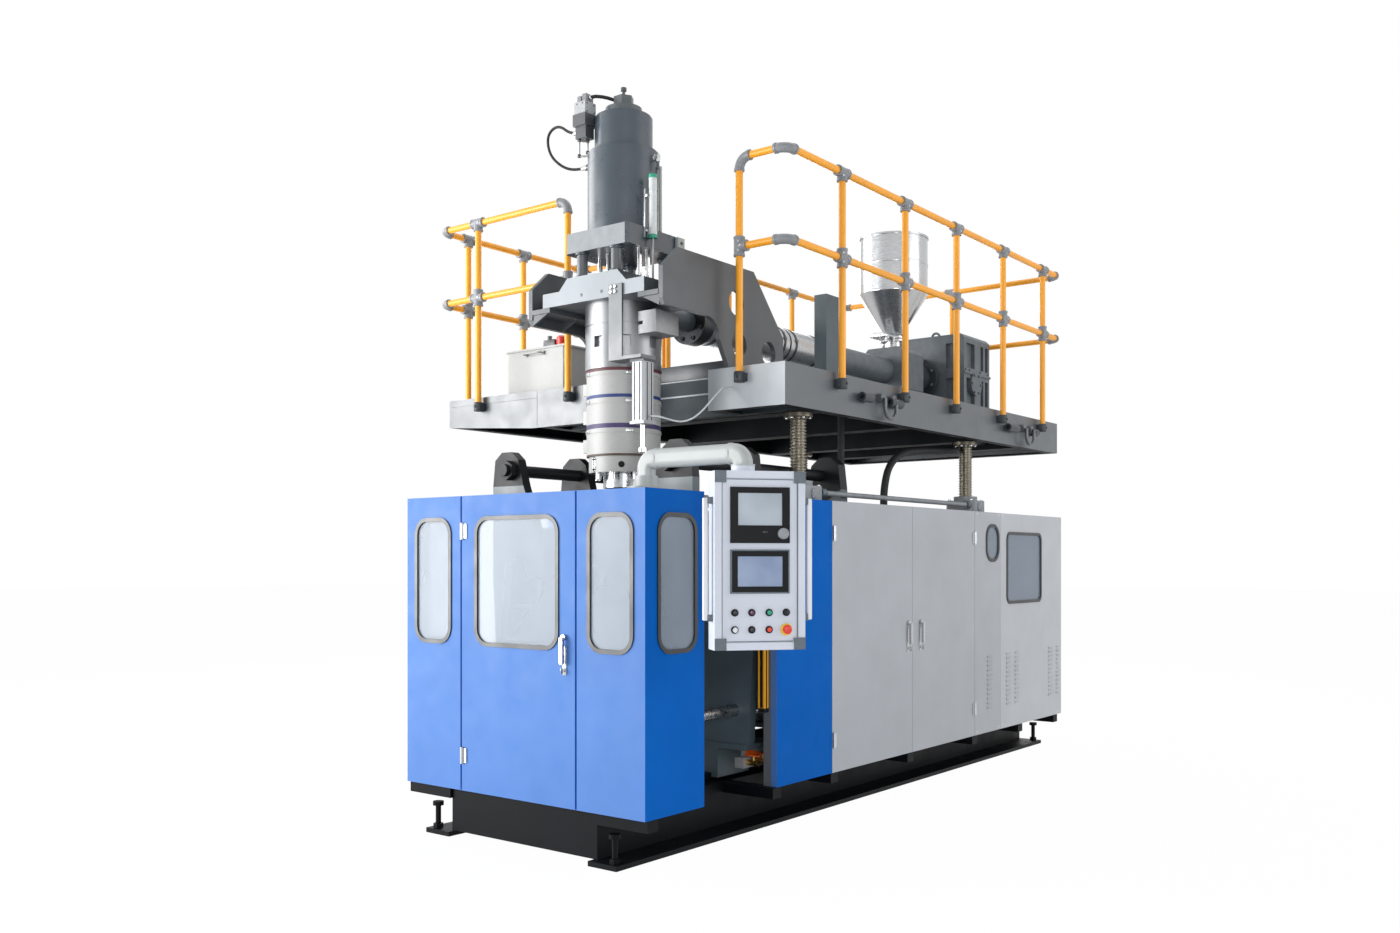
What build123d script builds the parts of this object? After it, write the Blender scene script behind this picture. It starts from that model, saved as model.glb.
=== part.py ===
"""Accumulator-head blow molding machine: guarded clamp, lifting extruder platform and pendant.

Frame: millimetres, +Z up, origin on the floor at the centre of the anchor bolt pattern.
The operator door faces -Y, the cabinet doors face +X.
"""
import os
from math import cos, pi, radians, sin, tan

from build123d import *

# Driving dimensions
GUARD_HEIGHT = 1600
GUARD_BOTTOM = 264
GUARD_TOP = GUARD_BOTTOM + GUARD_HEIGHT
HALF_WIDTH = 885
HALF_LENGTH = 2620
BASE_HALF_WIDTH = 542
BASE_HALF_LENGTH = 2585
SKID_INNER = 520
SKID_OUTER = 710
SKID_HALF_LENGTH = 2630
SKID_THICK = 26
ANCHOR_X = 660
ANCHOR_Y = 2440
ANCHOR_RADIUS = 14
JACK_BOLT_Y = 2585
JACK_BOLT_RADIUS = 15

# Sheet-metal guards
SKIN = 3
FOLD = 40
DOOR_FOLD = 35
PANEL_GAP = 4
WINDOW_LOW = 1055 - GUARD_BOTTOM
WINDOW_HIGH = 1750 - GUARD_BOTTOM
WINDOW_RADIUS = 95
SEAL_WIDTH = 22
SEAL_PROUD = 7
PANE_THICK = 5
DOOR_LEFT = -425
DOOR_RIGHT = 425
CORNER_END = -2158
SIDE_START = -1504
SIDE_END = -929
CABINET_SPLIT = 60
CABINET_END = 997
NARROW_END = 1439
LOUVRE_PITCH = 34
LOUVRE_COUNT = 12
LOUVRE_LOW = 435 - GUARD_BOTTOM

# Clamp
PARTING_Y = -1774
PLATEN_GAP = 512
TIE_X = 600
TIE_LOW_Z = 670
TIE_HIGH_Z = 2040
TIE_RADIUS = 35
RAIL_X = 420
RAIL_TOP = 304
TAIL_Y = -560

# Lifting platform
JACK_X = 715
JACK_FRONT_Y = -1033
JACK_REAR_Y = 1200
SCREW_RADIUS = 48
JACK_SIZE = 220
JACK_TOP = 1980
DECK_BOTTOM = 2380
DECK_TOP = 2620
DECK_LEFT = -1040
DECK_RIGHT = 895
DECK_FRONT = -1440
DECK_REAR = 2508
WALK_LEFT = -1911
WALK_REAR = -100
BEAM_THICK = 12

# Handrail
RAIL_RADIUS = 21.2
FITTING_RADIUS = 31
RAIL_MID = 3289
RAIL_HIGH = 3794
RAIL_OFFSET = 36

# Head and extruder
HEAD_Y = PARTING_Y
GOOSE_X = 495
GOOSE_THICK = 30
SADDLE_Z = 2972
CYLINDER_BASE = 3266
EXTRUDER_Z = 2980
HOPPER_Y = 1412

# Hoses
HOSE_END_Y = -1835
HOSE_END_Z = 3812
CONDUIT_X = 600
CONDUIT_Y = 190
CABLE_X = 500
CABLE_Y = -200

# Pendant
PIVOT = (690, -2380)
ELBOW = (1280, -2370)
ARM_Z = 2023
PANEL_CENTRE = (1330, -2332)
PANEL_NORMAL = (0.774, -0.633)
PANEL_LOW = 1095
PANEL_HIGH = 1933
PANEL_WIDTH = 440
PANEL_DEPTH = 130

RUNNING = 0.3

nodes = {}


def keep(name, *solids):
    """Store the solids of one named piece or of one group of like pieces."""
    nodes[name] = Compound(children=[s for shape in solids for s in shape.solids()])


def block(x0, x1, y0, y1, z0, z1):
    """Box between two corners."""
    return Pos((x0 + x1) / 2, (y0 + y1) / 2, (z0 + z1) / 2) * Box(x1 - x0, y1 - y0, z1 - z0)


def bar(start, end, radius):
    """Round bar between two points."""
    along = Vector(*end) - Vector(*start)
    return Solid.make_cylinder(radius, along.length, Plane(origin=start, z_dir=along))


def post(x, y, z0, z1, radius):
    """Upright round bar."""
    return bar((x, y, z0), (x, y, z1), radius)


def turned(x, y, *steps):
    """Upright turned piece from (low z, high z, radius) steps."""
    return fuse_all([post(x, y, z0, z1, radius) for z0, z1, radius in steps])


def fuse_all(shapes):
    """One solid from shapes that share faces."""
    whole = shapes[0]
    for shape in shapes[1:]:
        whole = whole + shape
    return whole


def plate_yz(points, x0, x1):
    """Flat plate from an outline in Y and Z, between two X planes."""
    outline = make_face(Polyline(*[(x0, y, z) for y, z in points], close=True))
    return extrude(outline, amount=x1 - x0, dir=(1, 0, 0))


def plate_xz(points, y0, y1):
    """Flat plate from an outline in X and Z, between two Y planes."""
    outline = make_face(Polyline(*[(x, y0, z) for x, z in points], close=True))
    return extrude(outline, amount=y1 - y0, dir=(0, 1, 0))


def mirrored(shape):
    """The same piece on the other side of the machine."""
    return mirror(shape, about=Plane.YZ)


def facing(origin, along, outward):
    """Working plane of a wall: first axis along it, second axis up, third axis outward."""
    return Plane(origin=origin, x_dir=along, z_dir=outward).location


FRONT = ((1, 0, 0), (0, -1, 0))
RIGHT = ((0, 1, 0), (1, 0, 0))
REAR = ((-1, 0, 0), (0, 1, 0))
LEFT = ((0, -1, 0), (-1, 0, 0))


def front_wall(x):
    return facing((x, -HALF_LENGTH, GUARD_BOTTOM), *FRONT)


def right_wall(y):
    return facing((HALF_WIDTH, y, GUARD_BOTTOM), *RIGHT)


def ring(wall, u0, u1, v0, v1, inset, width, w0, w1, radius=WINDOW_RADIUS):
    """Rounded rectangular ring on a wall, inset from the window size."""
    middle = wall * Pos((u0 + u1) / 2, (v0 + v1) / 2, w0)
    sizes = [(u1 - u0 - 2 * i, v1 - v0 - 2 * i, radius - i) for i in (inset, inset + width)]
    outer, inner = [RectangleRounded(*size) for size in sizes]
    return extrude(middle * (outer - inner), amount=w1 - w0, dir=wall_normal(wall))


def slab(wall, u0, u1, v0, v1, inset, w0, w1, radius=WINDOW_RADIUS):
    """Rounded rectangular slab on a wall, inset from the window size."""
    middle = wall * Pos((u0 + u1) / 2, (v0 + v1) / 2, w0)
    face = middle * RectangleRounded(u1 - u0 - 2 * inset, v1 - v0 - 2 * inset, radius - inset)
    return extrude(face, amount=w1 - w0, dir=wall_normal(wall))


def wall_normal(wall):
    """Outward direction of a wall."""
    return Plane(wall).z_dir


def tray(wall, width, height=GUARD_HEIGHT, windows=(), fold=FOLD):
    """Folded sheet panel: a skin with a return fold all round and window openings."""
    outer = Pos(width / 2, height / 2, -fold / 2) * Box(width, height, fold)
    hollow = Pos(width / 2, height / 2, -SKIN - fold / 2) * Box(width - 2 * SKIN, height - 2 * SKIN, fold)
    panel = wall * (outer - hollow)
    for window in windows:
        panel -= slab(wall, *window[:4], SEAL_WIDTH / 2, -fold, fold, window[4])
    return panel


def seal(wall, window):
    """Rubber window seal: a bead outside the skin and a neck through it."""
    bead = ring(wall, *window[:4], 0, SEAL_WIDTH, 0, SEAL_PROUD, window[4])
    neck = ring(wall, *window[:4], SEAL_WIDTH / 2, SEAL_WIDTH / 2, -4 * SKIN, 0, window[4])
    return bead + neck


def pane(wall, window):
    """Clear sheet held inside the neck of its seal."""
    return slab(wall, *window[:4], SEAL_WIDTH, -2 - PANE_THICK, -2, window[4])


def with_louvres(panel, wall, columns):
    """Panel with columns of pressed louvres: wedge hoods that are open along the lower edge."""
    for u0, u1 in columns:
        for index in range(LOUVRE_COUNT):
            low = LOUVRE_LOW + index * LOUVRE_PITCH
            hood = Polyline((u0, low, 0), (u0, low, 10), (u0, low + 20, 0), close=True)
            panel += wall * extrude(make_face(hood), amount=u1 - u0, dir=(1, 0, 0))
            mouth = Pos((u0 + u1) / 2, low + 3, 0) * Box(u1 - u0 - 8, 8, 14)
            panel -= wall * mouth
    return panel


# Base
def base_frame():
    """Welded base: two deep side beams, cross members, deck strips, skid plates and clamp rails."""
    pieces = []
    wall = 20
    for side in (-1, 1):
        inner = side * (BASE_HALF_WIDTH - wall)
        outer = side * BASE_HALF_WIDTH
        x0, x1 = sorted((inner, outer))
        pieces.append(block(x0, x1, -BASE_HALF_LENGTH, BASE_HALF_LENGTH, SKID_THICK, GUARD_BOTTOM))
        x0, x1 = sorted((side * SKID_INNER, side * SKID_OUTER))
        skid = block(x0, x1, -SKID_HALF_LENGTH, SKID_HALF_LENGTH, 0, SKID_THICK)
        for end in (-1, 1):
            skid -= post(side * ANCHOR_X, end * ANCHOR_Y, -1, SKID_THICK + 1, ANCHOR_RADIUS)
            skid -= post(side * ANCHOR_X, end * JACK_BOLT_Y, -1, SKID_THICK + 1, JACK_BOLT_RADIUS + 0.5)
        pieces.append(skid)
        rail_x = side * RAIL_X
        pieces.append(block(rail_x - 90, rail_x + 90, -2540, -200, GUARD_BOTTOM - 20, GUARD_BOTTOM))
        pieces.append(block(rail_x - 30, rail_x + 30, -2500, -240, GUARD_BOTTOM, RAIL_TOP))
    span = BASE_HALF_WIDTH - wall
    for y in (-BASE_HALF_LENGTH, BASE_HALF_LENGTH - wall):
        pieces.append(block(-span, span, y, y + wall, SKID_THICK, GUARD_BOTTOM))
    for y in (-1300, 0, 1300):
        pieces.append(block(-span, span, y - 60, y + 60, SKID_THICK, GUARD_BOTTOM - 40))
    pieces.append(block(-span, span, -180, BASE_HALF_LENGTH - wall, GUARD_BOTTOM - 20, GUARD_BOTTOM))
    for side in (-1, 1):
        x0, x1 = sorted((side * BASE_HALF_WIDTH, side * (HALF_WIDTH - 2)))
        for y in (-2560, -1500, -900, 40, 1000, 1800, 2500):
            pieces.append(block(x0, x1, y - 40, y + 40, GUARD_BOTTOM - 60, GUARD_BOTTOM - 2))
    keep("base_frame", *pieces, *levelling_bolts())


def levelling_bolts():
    """Jack bolts at the ends of the skid plates, each with a lock nut and a round head."""
    bolts = []
    for side in (-1, 1):
        for end in (-1, 1):
            place = Pos(side * ANCHOR_X, end * JACK_BOLT_Y, SKID_THICK)
            nut = place * extrude(RegularPolygon(28, 6), amount=24)
            stem = post(side * ANCHOR_X, end * JACK_BOLT_Y, 0, 150, JACK_BOLT_RADIUS)
            head = post(side * ANCHOR_X, end * JACK_BOLT_Y, 150, 172, 30)
            bolts.append(stem + nut + head)
    return bolts


# Enclosure
SIDE_WINDOW = (81, 387, WINDOW_LOW, WINDOW_HIGH, WINDOW_RADIUS)
RETURN_WINDOW = (89, 400, WINDOW_LOW, WINDOW_HIGH, WINDOW_RADIUS)
SMALL_WINDOW = (180, 407, 1502 - GUARD_BOTTOM, 1779 - GUARD_BOTTOM, 100)
LARGE_WINDOW = (101, 763, 1186 - GUARD_BOTTOM, 1728 - GUARD_BOTTOM, 60)
CORNER_WIDTH = HALF_WIDTH - DOOR_RIGHT - PANEL_GAP / 2
RETURN_WIDTH = CORNER_END + HALF_LENGTH


def corner_walls():
    """The two walls of the right front corner guard."""
    return front_wall(DOOR_RIGHT + PANEL_GAP / 2), right_wall(-HALF_LENGTH)


def front_guards():
    """Corner guards, each folded from one sheet, with a window in both faces."""
    front, side = corner_walls()
    leg = tray(front, CORNER_WIDTH, windows=[SIDE_WINDOW])
    back = tray(side, RETURN_WIDTH, windows=[RETURN_WINDOW])
    inside = block(HALF_WIDTH - FOLD - 1, HALF_WIDTH - SKIN, SKIN - HALF_LENGTH, FOLD + 1 - HALF_LENGTH,
                   GUARD_BOTTOM + SKIN, GUARD_TOP - SKIN)
    right = leg + back - inside
    keep("front_guards", right, mirrored(right))


def side_guards():
    """Guards behind the mould access openings."""
    panel = tray(right_wall(SIDE_START), SIDE_END - SIDE_START - PANEL_GAP / 2)
    keep("guard_side_panels", panel, mirrored(panel))


def cabinet_panels():
    """Fixed panels of the rear cabinet, with windows and louvre columns."""
    narrow_wall = right_wall(CABINET_END + PANEL_GAP / 2)
    narrow = tray(narrow_wall, NARROW_END - CABINET_END - PANEL_GAP, windows=[SMALL_WINDOW])
    narrow = with_louvres(narrow, narrow_wall, [(202, 282)])
    wide_wall = right_wall(NARROW_END)
    wide = tray(wide_wall, HALF_LENGTH - NARROW_END - FOLD, windows=[LARGE_WINDOW])
    wide = with_louvres(wide, wide_wall, [(95, 171), (251, 322), (905, 988), (1069, 1128)])
    left = []
    edges = [SIDE_END, CABINET_SPLIT, NARROW_END - 442, NARROW_END, HALF_LENGTH - FOLD]
    for start, end in zip(edges, edges[1:]):
        wall = facing((-HALF_WIDTH, end - PANEL_GAP / 2, GUARD_BOTTOM), *LEFT)
        panel = tray(wall, end - start - PANEL_GAP)
        if end == edges[-1]:
            panel = with_louvres(panel, wall, [(180, 260), (420, 500)])
        left.append(panel)
    rear = []
    for start in (HALF_WIDTH, PANEL_GAP / -2):
        wall = facing((start, HALF_LENGTH, GUARD_BOTTOM), *REAR)
        rear.append(tray(wall, HALF_WIDTH - PANEL_GAP / 2))
    keep("cabinet_panels", narrow, wide, *left, *rear)


def windows():
    """Seals and panes of all fixed windows."""
    front, side = corner_walls()
    narrow = right_wall(CABINET_END + PANEL_GAP / 2)
    wide = right_wall(NARROW_END)
    corner = [(front, SIDE_WINDOW), (side, RETURN_WINDOW)]
    cabinet = [(narrow, SMALL_WINDOW), (wide, LARGE_WINDOW)]
    corner_seals = [seal(*place) for place in corner]
    corner_panes = [pane(*place) for place in corner]
    keep("window_seals", *corner_seals, *map(mirrored, corner_seals), *[seal(*p) for p in cabinet])
    keep("window_panes", *corner_panes, *map(mirrored, corner_panes), *[pane(*p) for p in cabinet])


POST = 50
POST_X = HALF_WIDTH - FOLD
POST_Y = HALF_LENGTH - FOLD
ROOF_FRONT = -260
ROOF_THICK = 14


def enclosure_frame():
    """Posts, top rails, jack brackets and the roof plate over the cabinet."""
    pieces = []
    for side in (-1, 1):
        x0, x1 = sorted((side * (POST_X - POST), side * POST_X))
        for y in (-POST_Y, CORNER_END - POST, SIDE_START, SIDE_END, 1000, POST_Y - POST):
            pieces.append(block(x0, x1, y, y + POST, GUARD_BOTTOM, GUARD_TOP - ROOF_THICK - POST))
        pieces.append(block(x0, x1, -POST_Y, POST_Y, GUARD_TOP - ROOF_THICK - POST, GUARD_TOP - ROOF_THICK))
        pad_in, pad_out = JACK_X - 115, JACK_X + 128
        x0, x1 = sorted((side * pad_in, side * pad_out))
        pad = block(x0, x1, JACK_FRONT_Y - 130, JACK_FRONT_Y + 130, GUARD_TOP - ROOF_THICK, GUARD_TOP)
        pad -= post(side * JACK_X, JACK_FRONT_Y, 1500, 1900, SCREW_RADIUS + 6)
        pieces.append(pad)
    inside = POST_X - POST
    for y in (-POST_Y, POST_Y - POST):
        top = GUARD_TOP - ROOF_THICK
        pieces.append(block(-inside, inside, y, y + POST, top - POST, top))
    roof = block(-POST_X, POST_X, ROOF_FRONT, POST_Y, GUARD_TOP - ROOF_THICK, GUARD_TOP)
    for side in (-1, 1):
        roof -= post(side * JACK_X, JACK_REAR_Y, 1800, 1900, SCREW_RADIUS + 6)
    for x, y, half in ((CONDUIT_X, CONDUIT_Y, 40), (CABLE_X, CABLE_Y, 40)):
        roof -= block(x - half, x + half, y - half, y + half, 1800, 1900)
    pieces.append(roof)
    pieces.append(block(570, POST_X, -POST_Y, -2220, GUARD_TOP - ROOF_THICK, GUARD_TOP))
    keep("enclosure_frame", *pieces)


def light_curtains():
    """Light curtain bars at both edges of the right access opening, each on two small brackets."""
    pieces = []
    for edge, inward in ((CORNER_END, 1), (SIDE_START, -1)):
        near, far = edge + 8 * inward, edge + 46 * inward
        body = block(790, 834, *sorted((near, far)), 680, 1720)
        body -= block(802, 822, *sorted((far - 5 * inward, far + inward)), 700, 1700)
        pieces.append(body)
        for z in (760, 1640):
            pieces.append(block(800, 826, *sorted((edge, near)), z, z + 30))
    keep("light_curtains", *pieces)


# Doors
DOOR_WINDOW = (105, 735, WINDOW_LOW, WINDOW_HIGH, WINDOW_RADIUS)
HINGE_RADIUS = 9
LEVER_TURN_Z = 1065


def hinge(wall, u, height, side):
    """Two lift-off hinges: the barrel and leaf that go with the door at one edge of its wall."""
    leaves = []
    for v in (height * 0.12, height * 0.88):
        pin = wall * Pos(u, v, HINGE_RADIUS) * Rot(90, 0, 0) * Cylinder(HINGE_RADIUS, 90)
        leaf = wall * Pos(u + side * 16, v, 3) * Box(32, 80, 6)
        leaves.append(pin + leaf)
    return leaves


def door(wall, width, hinge_u, side, windows=()):
    """Folded door with its hinge leaves."""
    panel = tray(wall, width, windows=windows, fold=DOOR_FOLD)
    return fuse_all([panel, *hinge(wall, hinge_u, GUARD_HEIGHT, side)])


def lever(wall, u, low, high):
    """Swing lever on a round boss, hanging down along the door edge."""
    boss = wall * Pos(u, high, 8 + RUNNING) * Cylinder(15, 16)
    grip = wall * Pos(u, (low + high) / 2, 24) * Box(22, high - low, 16)
    tip = wall * Pos(u, low, 24) * Cylinder(11, 16)
    return fuse_all([boss, grip, tip])


def doors():
    """Front guard door with its window, and the pair of cabinet doors, each with a lever."""
    front = front_wall(DOOR_LEFT + PANEL_GAP / 2)
    front_width = DOOR_RIGHT - DOOR_LEFT - PANEL_GAP
    keep("front_door", door(front, front_width, 8, 1, [DOOR_WINDOW]))
    keep("front_door_seal", seal(front, DOOR_WINDOW))
    keep("front_door_pane", pane(front, DOOR_WINDOW))
    keep("front_door_handle", lever(front, 351 - DOOR_LEFT, 1000 - GUARD_BOTTOM, 1126 - GUARD_BOTTOM))
    near = right_wall(SIDE_END + PANEL_GAP / 2)
    near_width = CABINET_SPLIT - SIDE_END - PANEL_GAP
    keep("cabinet_door_front", door(near, near_width, 8, 1))
    keep("cabinet_handle_front", lever(near, near_width - 60, 985 - GUARD_BOTTOM, 1108 - GUARD_BOTTOM))
    far = right_wall(CABINET_SPLIT + PANEL_GAP / 2)
    far_width = CABINET_END - CABINET_SPLIT - PANEL_GAP
    keep("cabinet_door_rear", door(far, far_width, far_width - 8, -1))
    keep("cabinet_handle_rear", lever(far, 105, 985 - GUARD_BOTTOM, 1108 - GUARD_BOTTOM))


# Lift jacks and cabinet equipment
def lift_jacks():
    """Four screw jack housings on the roof, with the line shafts that link them front to rear."""
    pieces = []
    half = JACK_SIZE / 2
    shaft_z = 1915
    for side in (-1, 1):
        for y in (JACK_FRONT_Y, JACK_REAR_Y):
            x = side * JACK_X
            body = block(x - half, x + half, y - half, y + half, GUARD_TOP, JACK_TOP - 30)
            body = chamfer(body.edges().filter_by(Axis.Z), 25)
            cap = post(x, y, JACK_TOP - 30, JACK_TOP, 85)
            pieces.append(body + cap - post(x, y, GUARD_TOP - 1, JACK_TOP + 1, SCREW_RADIUS + 1))
        shaft_x = side * (JACK_X + 78)
        pieces.append(bar((shaft_x, JACK_FRONT_Y + half, shaft_z), (shaft_x, JACK_REAR_Y - half, shaft_z), 16))
    keep("lift_jacks", *pieces)


def cabinet_equipment():
    """Oil tank with pump motor, and the electrical mounting plate behind the rear cabinet door."""
    tank = block(-600, 600, 1480, 2480, GUARD_BOTTOM, 900)
    tank = fillet(tank.edges().filter_by(Axis.Z), 20)
    motor = bar((-300, 1560, 1090), (-300, 2050, 1090), 160)
    pump = bar((-300, 2050, 1090), (-300, 2260, 1090), 75)
    foot = block(-420, -180, 1620, 1990, 900, 935)
    motor_set = motor + pump + foot
    plate = block(740, 750, 130, 980, 420, 1700)
    rows = [block(750, 800, 170, 940, z, z + 150) for z in (520, 800, 1080, 1360)]
    feet = [block(700, 740, y, y + 40, GUARD_BOTTOM, 1000) for y in (160, 900)]
    keep("cabinet_equipment", tank, motor_set, fuse_all([plate, *rows, *feet]))


# Clamp
PLATEN_FACE = PARTING_Y + PLATEN_GAP / 2
PLATEN_THICK = 60
PLATEN_LOW = 480
PLATEN_DIP = 1700
ROD_Z = 1050
ROD_RADIUS = 55
EAR_X = 640


def platen_outline():
    """Platen outline in X and Z: a wide plate with a dip for the die and a house-shaped ear each side."""
    half = [(700, PLATEN_LOW), (755, 1400), (755, 1950), (EAR_X + 97, 2104), (EAR_X + 40, 2150),
            (EAR_X - 40, 2150), (EAR_X - 97, 2104), (500, 1950), (400, PLATEN_DIP)]
    return half + [(-x, z) for x, z in reversed(half)]


def carriage(x, y0, y1, top):
    """Slide block that straddles its rail."""
    shoe = block(x - 75, x + 75, y0, y1, RAIL_TOP - 24, top)
    return shoe - block(x - 30 - RUNNING, x + 30 + RUNNING, y0 - 1, y1 + 1, 0, RAIL_TOP + RUNNING)


def tie_places():
    """Centres of the four tie bars in X and Z."""
    return [(side * TIE_X, z) for side in (-1, 1) for z in (TIE_LOW_Z, TIE_HIGH_Z)]


def platen(hole_radius):
    """Rear platen: face plate, tapered ribs, foot plate and slide blocks."""
    face = PLATEN_FACE
    back = face + PLATEN_THICK
    pieces = [plate_xz(platen_outline(), face, back)]
    rib = [(back, PLATEN_LOW), (face + 275, PLATEN_LOW), (face + 275, 700), (face + 155, PLATEN_DIP - 20),
           (back, PLATEN_DIP - 20)]
    for x in (-470, -235, 235, 470):
        pieces.append(plate_yz(rib, x - 15, x + 15))
    for z, reach in ((900, 248), (1250, 205), (1600, 165)):
        pieces.append(block(-485, 485, back, face + reach, z - 12, z + 12))
    pieces.append(block(-690, 690, face - 12, face + 290, PLATEN_LOW - 30, PLATEN_LOW))
    for x in (-RAIL_X, RAIL_X):
        pieces.append(carriage(x, face - 12, face + 290, PLATEN_LOW - 30))
    whole = fuse_all(pieces)
    for x, z in tie_places():
        whole -= bar((x, face - 50, z), (x, back + 300, z), hole_radius)
    return whole


def clamp():
    """Front and rear platens, tie bars, tail plate with the clamp cylinder and the water manifold."""
    rear = platen(TIE_RADIUS + 1)
    rod = bar((0, PLATEN_FACE + PLATEN_THICK, ROD_Z), (0, -260, ROD_Z), ROD_RADIUS)
    boss = bar((0, PLATEN_FACE + PLATEN_THICK, ROD_Z), (0, PLATEN_FACE + 290, ROD_Z), 110)
    keep("rear_platen", rear + boss + rod)
    front = mirror(platen(TIE_RADIUS), about=Plane.XZ.offset(-PARTING_Y))
    keep("front_platen", front)
    start = 2 * PARTING_Y - PLATEN_FACE - PLATEN_THICK - 70
    bars = []
    for x, z in tie_places():
        nut = Plane(origin=(x, start + 70, z), z_dir=(0, -1, 0)) * extrude(RegularPolygon(58, 6), amount=45)
        bars.append(bar((x, start, z), (x, TAIL_Y + 130, z), TIE_RADIUS) + nut)
    keep("tie_bars", *bars)
    tail = plate_xz(platen_outline(), TAIL_Y - 60, TAIL_Y + 20)
    barrel = bar((0, TAIL_Y + 20, ROD_Z), (0, -120, ROD_Z), 150)
    flange = bar((0, TAIL_Y + 20, ROD_Z), (0, TAIL_Y + 60, ROD_Z), 200)
    foot = block(-560, 560, TAIL_Y - 140, TAIL_Y + 80, PLATEN_LOW - 30, PLATEN_LOW)
    shoes = [carriage(x, TAIL_Y - 140, TAIL_Y + 80, PLATEN_LOW - 30) for x in (-RAIL_X, RAIL_X)]
    brace = [(TAIL_Y + 20, PLATEN_LOW), (TAIL_Y + 80, PLATEN_LOW), (TAIL_Y + 20, 1300)]
    braces = [plate_yz(brace, x - 15, x + 15) for x in (-350, 350)]
    tail = fuse_all([tail, barrel, flange, foot, *shoes, *braces])
    tail -= bar((0, TAIL_Y - 200, ROD_Z), (0, -150, ROD_Z), ROD_RADIUS + RUNNING)
    for x, z in tie_places():
        tail -= bar((x, TAIL_Y - 200, z), (x, TAIL_Y + 200, z), TIE_RADIUS)
    keep("tail_plate", tail)
    manifold()


def manifold():
    """Water manifold under the rear platen's foot plate, with three ball valves and lever handles."""
    y0, y1 = PLATEN_FACE + 10, PLATEN_FACE + 280
    pieces = [block(600, 660, y0, y1, 345, 405), block(615, 645, y0 + 40, y1 - 40, 405, PLATEN_LOW - 30)]
    for y in (y0 + 45, y0 + 135, y0 + 225):
        pieces.append(bar((660, y, 375), (735, y, 375), 17))
        pieces.append(post(700, y, 375, 412, 10))
        pieces.append(block(655, 745, y - 9, y + 9, 412, 420))
    keep("water_manifold", fuse_all(pieces))


# Lifting platform
NOTCH_X = 358
NOTCH_Y = -1200
FLANGE = 70
DECK_PLATE = 8


def channel(start, end, inward, depth=DECK_TOP - DECK_PLATE - DECK_BOTTOM):
    """Channel beam under the deck, with its web on the line from start to end and flanges inward."""
    start, end, inward = Vector(*start), Vector(*end), Vector(*inward)
    top = DECK_TOP - DECK_PLATE
    low = top - depth
    section = [(0, low), (FLANGE, low), (FLANGE, low + BEAM_THICK), (BEAM_THICK, low + BEAM_THICK),
               (BEAM_THICK, top - BEAM_THICK), (FLANGE, top - BEAM_THICK), (FLANGE, top), (0, top)]
    points = [start + inward * across + Vector(0, 0, height) for across, height in section]
    along = end - start
    return extrude(make_face(Polyline(*points, close=True)), amount=along.length, dir=along)


def platform_frame():
    """Channel beams, deck plates, cross beams and cable duct of the platform and of its left walkway."""
    left, right, front, rear = DECK_LEFT, DECK_RIGHT, DECK_FRONT, DECK_REAR
    beams = [
        channel((right, front + BEAM_THICK, 0), (right, rear - BEAM_THICK, 0), (-1, 0, 0)),
        channel((left, front + BEAM_THICK, 0), (left, rear - BEAM_THICK, 0), (1, 0, 0)),
        channel((left + FLANGE, rear, 0), (right - FLANGE, rear, 0), (0, -1, 0)),
        channel((NOTCH_X, front, 0), (right - FLANGE, front, 0), (0, 1, 0)),
        channel((left + FLANGE, front, 0), (-NOTCH_X, front, 0), (0, 1, 0)),
        channel((NOTCH_X, front + FLANGE, 0), (NOTCH_X, NOTCH_Y, 0), (1, 0, 0)),
        channel((-NOTCH_X, front + FLANGE, 0), (-NOTCH_X, NOTCH_Y, 0), (-1, 0, 0)),
        channel((left + FLANGE, NOTCH_Y, 0), (right - FLANGE, NOTCH_Y, 0), (0, 1, 0)),
    ]
    for x in (left, right - FLANGE):
        for y in (front, rear - BEAM_THICK):
            beams.append(block(x, x + FLANGE, y, y + BEAM_THICK, DECK_BOTTOM, DECK_TOP - DECK_PLATE))
    for y in (JACK_FRONT_Y, 80, JACK_REAR_Y, 1900):
        beams.append(block(left + FLANGE, right - FLANGE, y - 70, y + 70, DECK_BOTTOM, DECK_TOP - DECK_PLATE))
    deck = block(left, right, front, rear, DECK_TOP - DECK_PLATE, DECK_TOP)
    deck -= block(-NOTCH_X, NOTCH_X, front - 1, NOTCH_Y, 0, 3000)
    duct = block(435, 525, -417, -263, DECK_TOP, 3220)
    duct -= block(438, 522, -414, -266, DECK_TOP - 1, 3221)
    keep("platform_frame", deck, *beams, duct, *walkway(), *lifting_links())


def walkway():
    """Left walkway: a front and rear beam that taper outwards, the outer channel and its deck plate."""
    top = DECK_TOP - DECK_PLATE
    tip = 2434
    taper = [(WALK_LEFT, top), (DECK_LEFT, top), (DECK_LEFT, DECK_BOTTOM), (DECK_LEFT - 60, DECK_BOTTOM),
             (WALK_LEFT, tip)]
    pieces = [plate_xz(taper, y, y + BEAM_THICK) for y in (DECK_FRONT, WALK_REAR - BEAM_THICK)]
    pieces.append(channel((WALK_LEFT, DECK_FRONT + BEAM_THICK, 0), (WALK_LEFT, WALK_REAR - BEAM_THICK, 0),
                          (1, 0, 0), top - tip))
    for x in (-1640, -1340):
        pieces.append(block(x - 5, x + 5, DECK_FRONT + BEAM_THICK, WALK_REAR - BEAM_THICK, tip + 40, top))
    pieces.append(block(WALK_LEFT, DECK_LEFT, DECK_FRONT, WALK_REAR, top, DECK_TOP))
    return pieces


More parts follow.
